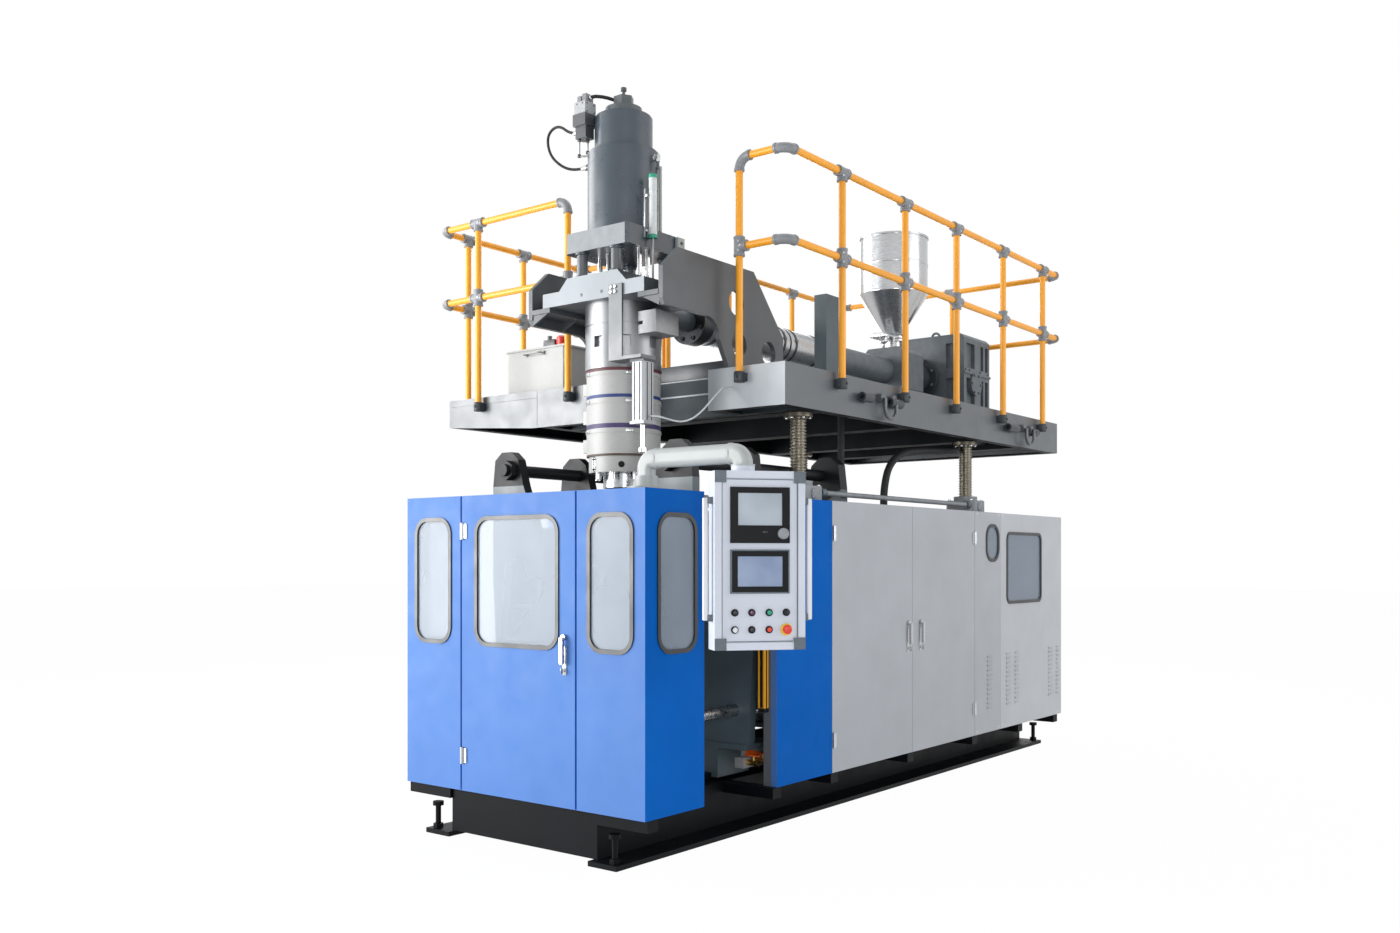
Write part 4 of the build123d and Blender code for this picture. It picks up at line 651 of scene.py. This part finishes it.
touch_up("front_door", LEVER_ZINC, (-430, -2640, 0), (-360, -2620.5, 1900))
touch_up("cabinet_door_front", LEVER_ZINC, (885.5, -930, 0), (910, -860, 1900))
touch_up("cabinet_door_rear", LEVER_ZINC, (885.5, 950, 0), (910, 1000, 1900))
touch_up("water_manifold", VALVE_ORANGE, (640, -1600, 409), (760, -1200, 425))
touch_up("water_manifold", BRASS, (661, -1600, 350), (760, -1200, 409))
panel_screws()
door_gaps()
curtain_lenses()
lever_keys("front_lever_plate", "front_door", (353, FRONT_Y, 1005), -Y_AXIS, X_AXIS)
lever_keys("cabinet_lever_plate_front", "cabinet_door_front", (GUARD_X, -2, 990), X_AXIS, Y_AXIS)
lever_keys("cabinet_lever_plate_rear", "cabinet_door_rear", (GUARD_X, 167, 990), X_AXIS, Y_AXIS)


# Routes of the hoses, as in the part's source

SERVO_ROUTE = [
    (-210, -1920, 3990), (-275, -1920, 3990), (-385, -1918, 4075), (-485, -1912, 4036), (-478, -1898, 3920),
    (-400, -1870, 3838), (-320, -1835, 3812), (-225, -1835, 3812),
]
CONDUIT_ROUTE = [
    (600, 190, 1690), (600, 191, 1850), (600, 193, 2000), (598, 265, 2165), (591, 470, 2265),
    (585, 790, 2300), (580, 1130, 2322), (577, 1420, 2355), (575, 1640, 2440), (575, 1830, 2440),
]
CABLE_ROUTE = [(500, -200, 1690), (503, -197, 1900), (497, -191, 2125), (500, -196, 2372), (500, -196, 2612)]
AIR_ROUTE = [
    (371, -1980, 2300), (420, -1980, 2300), (460, -1935, 2282), (485, -1860, 2270), (500, -1780, 2290),
    (510, -1700, 2340), (516, -1625, 2405), (519, -1555, 2465), (520, -1497, 2505), (520, -1440, 2505),
]


# Head, rails and drive

HEAD_Y = -1774
JACK_X = 715
JACK_SPOTS = ((-1033, -1), (1200, 1))
DECK_TOP = 2620


def lift_threads():
    """Lift screws with their helical threads, in place of the plain stems."""
    shapes = []
    pitch, turns, steps = 19, 40, 20
    tooth = [(48, 0), (48, 6), (41, 8.5), (41, 14), (48, 16.5), (48, pitch)]
    foot = [(0, 1560), (42, 1560), (46, 1564), (46, 1604), (40.9, 1607)]
    flange = [(40.9, 2340), (47.9, 2346), (47.9, 2356), (83, 2356), (85, 2358), (85, 2380), (0, 2380)]
    for x, (y, _) in [(x, spot) for x in (-JACK_X, JACK_X) for spot in JACK_SPOTS]:
        work = bmesh.new()
        points = [work.verts.new((x + radius, y, 1590 + height)) for radius, height in tooth]
        edges = [work.edges.new(pair) for pair in zip(points, points[1:])]
        bmesh.ops.spin(
            work, geom=points + edges, axis=Z_AXIS, cent=(x, y, 0), dvec=(0, 0, pitch / steps),
            angle=2 * math.pi * turns, steps=turns * steps,
        )
        bmesh.ops.remove_doubles(work, verts=work.verts, dist=0.01)
        bmesh.ops.recalc_face_normals(work, faces=work.faces)
        shapes += [(work, 0), (turned(foot + flange, (x, y, 0)), 0)]
        for step in range(6):
            spot = Vector((x, y, 2356)) + heading(60 * step + 30) * 67
            shapes.append((hexagon(spot, -Z_AXIS, 10, 9), 1))
    tints = [SCREW_STEEL, SCREW_ZINC]
    build("lift_screw_threads", shapes, "platform", tints, ["lift_screws"])


RAIL_FRONT_Y = -1476
RAIL_REAR_Y = 2440
RIGHT_X = 931
LEFT_X = -1947
INNER_X = -1076
WALK_END_X = -1116
WALK_END_Y = -64
RIGHT_LINE = [
    (608, RAIL_FRONT_Y), (RIGHT_X, RAIL_FRONT_Y), (RIGHT_X, -892), (RIGHT_X, -122), (RIGHT_X, 610),
    (RIGHT_X, 1375), (RIGHT_X, 2117), (RIGHT_X, RAIL_REAR_Y), (0, RAIL_REAR_Y), (INNER_X, RAIL_REAR_Y),
    (INNER_X, 1600), (INNER_X, 700), (INNER_X, WALK_END_Y),
]
LEFT_LINE = [
    (WALK_END_X, WALK_END_Y), (LEFT_X, WALK_END_Y), (LEFT_X, -700), (LEFT_X, -1236), (LEFT_X, RAIL_FRONT_Y),
    (-1574, RAIL_FRONT_Y), (-735, RAIL_FRONT_Y),
]
NO_POST = [
    (RIGHT_X, RAIL_FRONT_Y), (RIGHT_X, RAIL_REAR_Y), (INNER_X, RAIL_REAR_Y), (LEFT_X, RAIL_FRONT_Y),
    (LEFT_X, WALK_END_Y),
]
MIDDLE_RAIL = 3289
TOP_RAIL = 3794
TUBE = 21.3
BEND = 70


def bend(spot, first, second):
    """Long bend between two rails, or a rail and a post, that end at a corner."""
    work = bmesh.new()
    rim = Matrix.Translation(spot + first * BEND) @ upright(first)
    bmesh.ops.create_circle(work, segments=24, radius=28, matrix=rim)
    bmesh.ops.spin(
        work, geom=work.verts[:] + work.edges[:], axis=second.cross(first),
        cent=spot + (first + second) * BEND, angle=math.pi / 2, steps=8,
    )
    bmesh.ops.recalc_face_normals(work, faces=work.faces)
    return work


def post_foot(x, y):
    """Foot of a post: a boss on a lug of the beam, with the tube's end above it, or a flange on the deck."""
    if y == RAIL_REAR_Y:
        flange = [(0, 0), (55, 0), (55, 8), (53, 10), (31, 10), (31, 18), (29, 20), (TUBE, 20)]
        return [(turned(flange, (x, y, DECK_TOP), steps=28), 2)]
    way = {RIGHT_X: -X_AXIS, WALK_END_X: -Y_AXIS}.get(x, X_AXIS)
    if y == RAIL_FRONT_Y:
        way = Y_AXIS
    spot = Vector((x, y, 0))
    across = Vector((abs(way.y), abs(way.x), 0)) * 34
    corners = [spot - across, spot + across + way * 35.9]
    low = [min(c[i] for c in corners) for i in (0, 1)]
    high = [max(c[i] for c in corners) for i in (0, 1)]
    boss = [(0, 2522), (29, 2522), (31, 2525), (31, 2579), (29, 2582), (0, 2582)]
    return [
        (turned(boss, spot, steps=28), 2),
        (block((*low, 2528), (*high, 2576), 3), 2),
        (hexagon(spot - way * 30.5 + Z_AXIS * 2552, -way, 9, 7), 2),
        (rod((x, y, 2580), (x, y, 2640), TUBE - 0.1, 0.2), 3),
    ]


def rail_joint(spot, ways):
    """Fitting where rails and posts meet: a long bend for two of them, or a ball with a socket for each."""
    if len(ways) == 2:
        collar = [(TUBE, 0), (29, 0), (30.5, 2), (30.5, 16), (29, 18), (TUBE, 18)]
        return [(bend(spot, *ways), 0)] + [(turned(collar, spot + way * 62, way, 28), 0) for way in ways]
    ball = [(31 * math.sin(math.radians(a)), -31 * math.cos(math.radians(a))) for a in range(0, 181, 20)]
    socket = [(0, 0), (31, 0), (31, 42), (33, 43.5), (33.6, 49), (33, 54.5), (30.8, 56.4), (TUBE, 56.4)]
    shapes = [(turned(ball, spot, steps=28), 0)]
    for way in ways:
        shapes.append((turned(socket, spot, way, 28), 0))
        side = way.cross(Z_AXIS) if abs(way.z) < 0.5 else Vector((spot.x, spot.y, 0)).normalized()
        shapes.append((cap_screw(spot + way * 26 + side * 29.5, side, 6, 5), 1))
    return shapes


def key_clamps():
    """Key-clamp fittings of the handrails with their set screws, the corner bends and the posts' feet."""
    shapes = []
    for line in (RIGHT_LINE, LEFT_LINE):
        for index, (x, y) in enumerate(line):
            near = [line[i] for i in (index - 1, index + 1) if 0 <= i < len(line)]
            has_post = (x, y) not in NO_POST
            if has_post:
                shapes += post_foot(x, y)
            for z, upwards in ((MIDDLE_RAIL, [-Z_AXIS, Z_AXIS]), (TOP_RAIL, [-Z_AXIS])):
                spot = Vector((x, y, z))
                ways = [(Vector((*place, z)) - spot).normalized() for place in near]
                shapes += rail_joint(spot, ways + upwards if has_post else ways)
    tints = [FITTING_GREY, SCREW_ZINC, SOCKET_GREY, RAIL_ORANGE]
    build("key_clamps", shapes, "platform", tints, ["handrail_fittings"])


def deck_trim():
    """Pipe bosses by the lifting links, cross plate behind the head, seams of the walkway's front."""
    shapes = []
    for start, end in ((-658, -545), (-318, -170), (1470, 1640), (1938, 2008)):
        long = end - start
        pipe = [(0, 30), (15, 30), (15, 0), (27, 0), (29, 2), (29, long - 2), (27, long), (0, long)]
        shapes.append((turned(pipe, (927, start, 2503), Y_AXIS, 32), 0))
        middle = (start + end) / 2
        shapes.append((block((895, middle - 18, 2484), (920, middle + 18, 2522), 2), 0))
    shapes += [
        (block((-338, -1212, DECK_TOP), (338, -1200, 2712), 2), 1),
        # A pale strip across the shaded notch: painted light on a beam.
        (block((-340, -1209, 2516), (340, -1200.2, 2527), 1), 2),
        (block((-1051, -1440.8, 2390), (-1046, -1439, DECK_TOP - 1), 0), 1),
        (block((-1890, -1440.8, 2572), (-1051, -1439, 2576), 0), 1),
    ]
    build("deck_trim", shapes, "platform", [SOCKET_GREY, GOOSE_GREY, FRONT_GREY_PAINTED_LIGHT])


def heater_rings():
    """Tinted insulation rings that show in the gaps between the heater covers, and the strap clips."""
    shapes = []
    for low, high, number in ((2579, 2597.7, 0), (2430, 2449, 1), (2259, 2285, 2), (2104.3, 2115, 3)):
        ring = [(213.1, low), (213.7, low + 0.6), (213.7, high - 0.6), (213.1, high), (200, high)]
        shapes.append((turned(ring, (0, HEAD_Y, 0), steps=64), number))
    for top in (2268, 2435, 2594):
        for angle in (-118, -40):
            way = heading(angle)
            spot = Vector((0, HEAD_Y, top - 24)) + way * 217
            across = way.cross(Z_AXIS)
            for side in (-13, 13):
                shapes.append((cap_screw(spot + across * side - way, way, 6, 9), 4))
            place = Matrix.Translation(spot) @ facing(across, Z_AXIS, way)
            clip = moved(block((-22, -9, -1), (22, 9, 5), 1.5), place)
            bmesh.ops.recalc_face_normals(clip, faces=clip.faces)
            shapes.append((clip, 4))
    tints = [RING_PURPLE, RING_BLUE, RING_VIOLET, RING_BROWN, SCREW_ZINC]
    build("heater_rings", shapes, "platform", tints)


def on_barrel(shape, angle, height, radius):
    """Moves a shape that was drawn flat onto the round side of the head."""
    way = heading(angle)
    spot = Vector((0, HEAD_Y, height)) + way * radius
    return moved(shape, Matrix.Translation(spot) @ facing(Z_AXIS.cross(way), Z_AXIS, way))


def die_ring_parts():
    """Plugs, latches and their screws on the die ring, and the grooves of the knife cylinder."""
    shapes = []
    for angle in (-52, 38, 128, 218):
        plug = turned([(0, 1.5), (16, 1.5), (18, 0.5), (18, -2)], (0, 0, 0), steps=28)
        shapes.append((on_barrel(plug, angle, 2054, 200), 1))
    for angle in (-105, 75):
        shapes.append((on_barrel(block((-4, -44, -2), (4, 44, 1.2), 0.4), angle, 2058, 200), 1))
        for u in (-14, 6):
            shapes.append((on_barrel(block((u, -38, -2), (u + 8, 38, 5), 1.5), angle, 2058, 199), 0))
            for v in (-28, 28):
                shapes.append((on_barrel(pan_screw((u + 4, v, 4.8), Z_AXIS, 4.5), angle, 2058, 199), 1))
    shapes += [(block((x, -2028.7, 2279), (x + 6, -2027, 2594), 0), 1) for x in (301, 337)]
    shapes += [(block((368, y, 2279), (369.7, y + 6, 2594), 0), 1) for y in (-2001, -1965)]
    build("die_ring_parts", shapes, "platform", [SCREW_ZINC, DISPLAY_BLACK])


def saddle_bolts():
    """Tapped holes in the saddle, the screws of the knife bracket and the nuts on the cylinder's plate."""
    hole = [(0, 0.6), (9, 0.6), (10, 0)]
    shapes = [(turned(hole, (x, -2044, 3010), -Y_AXIS, 20), 1) for x in (-79, 74)]
    for x in (158, 188):
        for z in (3018, 2992):
            shapes.append((cap_screw((x, -2056, z), -Y_AXIS, 9, 9), 0))
    nut = [(31, 0), (39, 0), (40, 1), (40, 13), (38, 15), (31, 15)]
    for x in (-130, 130):
        for y in (-1982, -1566):
            shapes += [(turned(nut, (x, y, z)), 2) for z in (3118, 3251)]
    build("saddle_bolts", shapes, "platform", [SCREW_ZINC, VALVE_BLACK, CYLINDER_GREY])


def cylinder_fittings():
    """Joint lines, side port and nipple of the ram cylinder, the pipe beside it, pale as a painted rim
    highlight of the cylinder, and the sensor's strip.
    """
    shapes = []
    for radius, z in ((207.5, 3780), (167.5, 3887), (167.5, 4004)):
        low, high = radius - 0.5, radius + 0.5
        seam = [(low, z - 2), (high, z - 1.5), (high, z + 1.5), (low, z + 2)]
        shapes.append((turned(seam, (0, HEAD_Y, 0), steps=72), 2))
    way = heading(6)
    root = Vector((0, HEAD_Y, 3800)) + way * 204
    nipple = root + way * 34
    shapes += [
        (hexagon(root, way, 20, 18), 0),
        (rod(root + way * 16, root + way * 42, 13), 0),
        (hexagon(nipple + Z_AXIS * 14, -Z_AXIS, 15, 40), 0),
        (rod(nipple - Z_AXIS * 24, nipple - Z_AXIS * 70, 7), 1),
        (block((240, -1875, 3320), (246, -1866, 3590), 1), 0),
        (block((240, -1600, 3285), (262, -1536, 3376), 3), 3),
        # A pipe on the cylinder's right edge, in pale paint that also stands in for the cylinder's rim
        # highlight: painted highlight.
        (rod((206, -1690, 3394), (206, -1690, 3768), 9), 3),
    ]
    shapes += [(block((246, -1873, z), (258, -1845, z + 16), 1.5), 0) for z in (3350, 3545)]
    shapes += [(hexagon((262, -1568, z), X_AXIS, 9, 7), 1) for z in (3300, 3345)]
    tints = [SCREW_ZINC, VALVE_BLACK, CLAMP_BLACK, ARM_WHITE]
    build("cylinder_fittings", shapes, "platform", tints)


def servo_fittings():
    """Nuts, pilot pipes, plug and screws round the servo valve, and its drain pipe to the cap."""
    ferrule = [(8.2, 0), (16, 0), (17, 2), (17, 20), (13, 24), (12, 44), (8.3, 46)]
    shapes = [(turned(ferrule, end, -X_AXIS), 0) for end in (SERVO_ROUTE[0], SERVO_ROUTE[-1])]
    for x, y, low in ((-196, -1938, 3838), (-166, -1900, 3862)):
        shapes.append((rod((x, y, low), (x, y, 3942), 6), 0))
        shapes.append((hexagon((x, y, 3942), -Z_AXIS, 12, 16), 1))
        shapes.append((hexagon((x, y, low - 2), Z_AXIS, 11, 18), 1))
        shapes.append((rod((x, y, low + 4), (-130, HEAD_Y - 130, low + 4), 6), 0))
    for y in (-1948, -1890):
        for z in (4088, 4134):
            shapes.append((pan_screw((-126, y, z), X_AXIS, 6), 1))
    shapes += [(pan_screw((x, -1964, 4134), -Y_AXIS, 5), 1) for x in (-190, -146)]
    shapes.append((hexagon((-132, -1920, 4170), X_AXIS, 13, 16), 0))
    bends = [
        (-118, -1920, 4172), (-100, -1902, 4178), (-80, -1870, 4180), (-62, -1838, 4178), (-44, -1806, 4172),
    ]
    shapes += [(rod(*ends, 10, 0.5), 2) for ends in zip(bends, bends[1:])]
    build("servo_fittings", shapes, "platform", [SCREW_ZINC, VALVE_BLACK, HOSE_BLACK])


def jack_covers():
    """Bearing covers, corner screws and shaft couplings of the four lift jacks."""
    shapes = []
    lid = [(0, 9), (22, 9), (24, 7), (30, 7), (33, 3), (33, 0)]
    coupling = [(16.2, 0), (27, 0), (28, 2), (28, 50), (26, 52), (16.2, 52)]
    for sx, (y, sy) in [(sx, spot) for sx in (-1, 1) for spot in JACK_SPOTS]:
        x = sx * JACK_X
        for way in (X_AXIS * sx, Y_AXIS * sy):
            centre = Vector((x, y, 1905)) + way * 110
            shapes.append((turned(lid, centre, way, 36), 0))
            across = way.cross(Z_AXIS)
            for step in range(4):
                turn = heading(45 + 90 * step) * 27
                spot = centre + across * turn.x + Z_AXIS * turn.y + way * 6
                shapes.append((cap_screw(spot, way, 3.5, 4), 1))
        for dx in (-86, 86):
            for dy in (-86, 86):
                shapes.append((hexagon((x + dx, y + dy, 1950), Z_AXIS, 11, 9), 1))
        shapes.append((turned(coupling, (sx * 793, y - sy * 112, 1915), (0, -sy, 0), 32), 2))
    build("jack_covers", shapes, "frame", [JACK_GREY, SCREW_ZINC, CLAMP_BLACK])


EXTRUDER_Z = 2980
GEARBOX_SIDE_X = 369
HOPPER_Y = 1412
STRAPS = (-1000, -710, -572, -282, -144, 146)


def drive_bolts():
    """Bolts of the extruder and gearbox, oil plug and level glass, and locks of the barrel's straps."""
    shapes = []
    for step in range(8):
        turn = heading(22.5 + 45 * step)
        way = Vector((turn.x, 0, turn.y))
        shapes.append((cap_screw(Vector((0, -1180, EXTRUDER_Z)) + way * 108, -Y_AXIS, 13, 14), 2))
        shapes.append((hexagon(Vector((0, 1800, EXTRUDER_Z)) + way * 148, -Y_AXIS, 12, 11), 0))
    for step in range(6):
        turn = heading(60 * step) * 78
        shapes.append((hexagon(Vector((385, 2100 + turn.x, 2940 + turn.y)), X_AXIS, 11, 9), 0))
    for y in (1925, 2010, 2270, 2350):
        for x in (-385, 385):
            shapes.append((hexagon((x, y, 2660), Z_AXIS, 11, 12), 0))
    shapes += [(hexagon((GEARBOX_SIDE_X, y, 3046), X_AXIS, 9, 8), 0) for y in (1930, 2000, 2200, 2345)]
    level_glass = [(0, 10), (14, 10), (16, 8), (16, 0)]
    shapes.append((turned(level_glass, (GEARBOX_SIDE_X, 2290, 2710), X_AXIS, 24), 1))
    shapes.append((hexagon((GEARBOX_SIDE_X, 2200, 2700), X_AXIS, 12, 12), 0))
    for y in STRAPS:
        for x in (-114, 114):
            shapes.append((block((x - 7, y - 2, 2988), (x + 7, y + 22, 3012), 2), 0))
    build("drive_bolts", shapes, "platform", [GEARBOX_GREY, BRASS, SOCKET_GREY])


def hopper_bands():
    """Rolled bands round the hopper and the screws of its throat flanges."""
    shapes = []
    for z in (3594, 3812):
        band = [(266.5, z - 9), (269.5, z - 7), (270.5, z), (269.5, z + 7), (266.5, z + 9)]
        shapes.append((turned(band, (0, HOPPER_Y, 0), steps=72), 0))
    for step in range(8):
        spot = Vector((0, HOPPER_Y, 3259)) + heading(22.5 + 45 * step) * 84
        shapes.append((hexagon(spot, Z_AXIS, 8, 7), 1))
    build("hopper_bands", shapes, "platform", [HOPPER_STEEL, SCREW_ZINC])


def oiler():
    """Slim oil mist unit on the walkway behind the bin: black stand and valve, red bowl."""
    stand = [(0, 2620), (40, 2620), (40, 2628), (16, 2632), (16, 3036), (0, 3036)]
    bowl = [(0, 3036), (38, 3036), (40, 3040), (40, 3112), (30, 3124), (0, 3124)]
    shapes = [
        (turned(stand, (-1478, -770, 0)), 0),
        (turned(bowl, (-1478, -770, 0)), 1),
        (block((-1640, -800, 3046), (-1524, -742, 3106), 6), 0),
        (rod((-1530, -770, 3074), (-1510, -770, 3074), 14), 0),
        (rod((-1600, -771, 3106), (-1600, -771, 3136), 17), 0),
    ]
    build("oiler", shapes, "platform", [VALVE_BLACK, STOP_RED])


for strap in STRAPS:
    touch_up("barrel_covers", SOCKET_GREY, (-130, strap - 0.5, 2850), (130, strap + 20.5, 3110))
# Painted shade: the knife bracket's right side face takes the clamp's grey with less sheen.
touch_up("head_saddle", CLAMP_BLACK, (234.9, -2060, 2610), (236, -2044.1, 3040))
lift_threads()
key_clamps()
deck_trim()
heater_rings()
die_ring_parts()
saddle_bolts()
cylinder_fittings()
servo_fittings()
jack_covers()
drive_bolts()
hopper_bands()
oiler()


# Hoses

def hose(name, points, radius, material):
    """A free hose as a smooth curve through its route, in place of its plain tube."""
    curve = bpy.data.curves.new(name, "CURVE")
    curve.dimensions = "3D"
    curve.bevel_depth = radius * MM
    curve.bevel_resolution = 5
    curve.resolution_u = 12
    curve.use_fill_caps = True
    line = curve.splines.new("NURBS")
    line.points.add(len(points) - 1)
    for spot, place in zip(line.points, points):
        spot.co = (*(Vector(place) * MM), 1)
    line.order_u = 3
    line.use_endpoint_u = True
    curve.materials.append(material)
    piece = bpy.data.objects.new(name, curve)
    scene.collection.objects.link(piece)
    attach(piece, "platform")
    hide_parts(name.replace("_line", ""))


hose("servo_hose_line", SERVO_ROUTE, 8, HOSE_BLACK)
hose("conduit_hose_line", CONDUIT_ROUTE, 25, HOSE_BLACK)
hose("cable_hose_line", CABLE_ROUTE, 22, HOSE_BLACK)
hose("air_tube_line", AIR_ROUTE, 5, TUBE_CLEAR)


# Floor, light and camera

def studio_white(tree):
    """1 where the camera, a mirror or a clear sheet looks straight at the backdrop."""
    rays = add(tree, "LightPath").outputs
    either = add(tree, "Math", {0: rays["Is Camera Ray"], 1: rays["Is Glossy Ray"]}, operation="MAXIMUM")
    sockets = {0: either.outputs[0], 1: rays["Is Transmission Ray"]}
    return add(tree, "Math", sockets, operation="MAXIMUM").outputs[0]


def studio_world():
    """White backdrop for the camera, soft grey light on the object."""
    world = bpy.data.worlds.new("studio")
    scene.world = world
    world.use_nodes = True
    tree = world.node_tree
    light = add(tree, "Background", {"Color": colour("#DDE3EA"), "Strength": 0.5})
    white = add(tree, "Background", {"Color": (1, 1, 1, 1), "Strength": 1.0})
    mix = add(tree, "MixShader", {0: studio_white(tree), 1: light.outputs[0], 2: white.outputs[0]})
    tree.links.new(mix.outputs[0], tree.nodes["World Output"].inputs["Surface"])


def studio_floor():
    """Pale floor that keeps the shadow under the machine."""
    material = bpy.data.materials.new("studio_floor")
    material.use_nodes = True
    tree = material.node_tree
    tree.nodes.remove(tree.nodes["Principled BSDF"])
    place = add(tree, "TexCoord").outputs["Object"]
    factor = blotches(tree, place, 0, 1, 0.5, 3, start=0, end=1)
    sockets = {0: factor, 6: colour("#F4F4F4"), 7: colour("#FAFAFA")}
    tone = add(tree, "Mix", sockets, data_type="RGBA").outputs[2]
    matt = add(tree, "BsdfDiffuse", {"Color": tone})
    glow = add(tree, "Emission", {"Color": (1, 1, 1, 1), "Strength": 1.0})
    share = add(tree, "Math", {0: studio_white(tree), 1: 0.98}, operation="MULTIPLY").outputs[0]
    mix = add(tree, "MixShader", {0: share, 1: matt.outputs[0], 2: glow.outputs[0]})
    tree.links.new(mix.outputs[0], tree.nodes["Material Output"].inputs["Surface"])
    work = bmesh.new()
    bmesh.ops.create_grid(work, x_segments=1, y_segments=1, size=60)
    mesh = bpy.data.meshes.new("floor")
    work.to_mesh(mesh)
    work.free()
    mesh.materials.append(material)
    floor = bpy.data.objects.new("floor", mesh)
    floor.location.z = -0.001
    scene.collection.objects.link(floor)


def softbox(name, place, target, size, power):
    """Large soft lamp aimed at a point."""
    lamp = bpy.data.lights.new(name, "AREA")
    lamp.shape = "RECTANGLE"
    lamp.size, lamp.size_y = size
    lamp.energy = power
    holder = bpy.data.objects.new(name, lamp)
    scene.collection.objects.link(holder)
    holder.location = place
    holder.rotation_mode = "QUATERNION"
    holder.rotation_quaternion = (Vector(target) - Vector(place)).to_track_quat("-Z", "Y")


def camera_at_photo():
    """Level camera at the photograph's place; the lens shift frames the machine."""
    lens = bpy.data.cameras.new("camera")
    lens.sensor_width = 36
    lens.lens = 31.11
    lens.shift_y = 0.0668
    lens.clip_end = 200
    holder = bpy.data.objects.new("camera", lens)
    scene.collection.objects.link(holder)
    holder.location = (4.639, -7.015, 1.516)
    holder.rotation_mode = "QUATERNION"
    holder.rotation_quaternion = Vector((-0.6143, 0.789, 0)).to_track_quat("-Z", "Y")
    scene.camera = holder


studio_world()
studio_floor()
MACHINE_MIDDLE = (0, -0.4, 1.9)
softbox("front_light", (-6.6, -9.0, 2.55), (0.2, -2.0, 1.7), (6.6, 5.1), 1250)
softbox("left_light", (-10.5, -3.2, 7.2), (0, -1.8, 3.7), (7.0, 5.0), 420)
softbox("right_light", (10.5, 3.5, 4.0), MACHINE_MIDDLE, (7, 5), 360)
softbox("near_light", (7.8, -8.4, 2.6), (0.9, -1.9, 1.2), (3, 3), 230)
softbox("top_light", (0, 1.0, 10.0), MACHINE_MIDDLE, (8, 8), 300)
softbox("rear_light", (-7.0, 9.0, 5.0), MACHINE_MIDDLE, (7, 5), 600)
camera_at_photo()
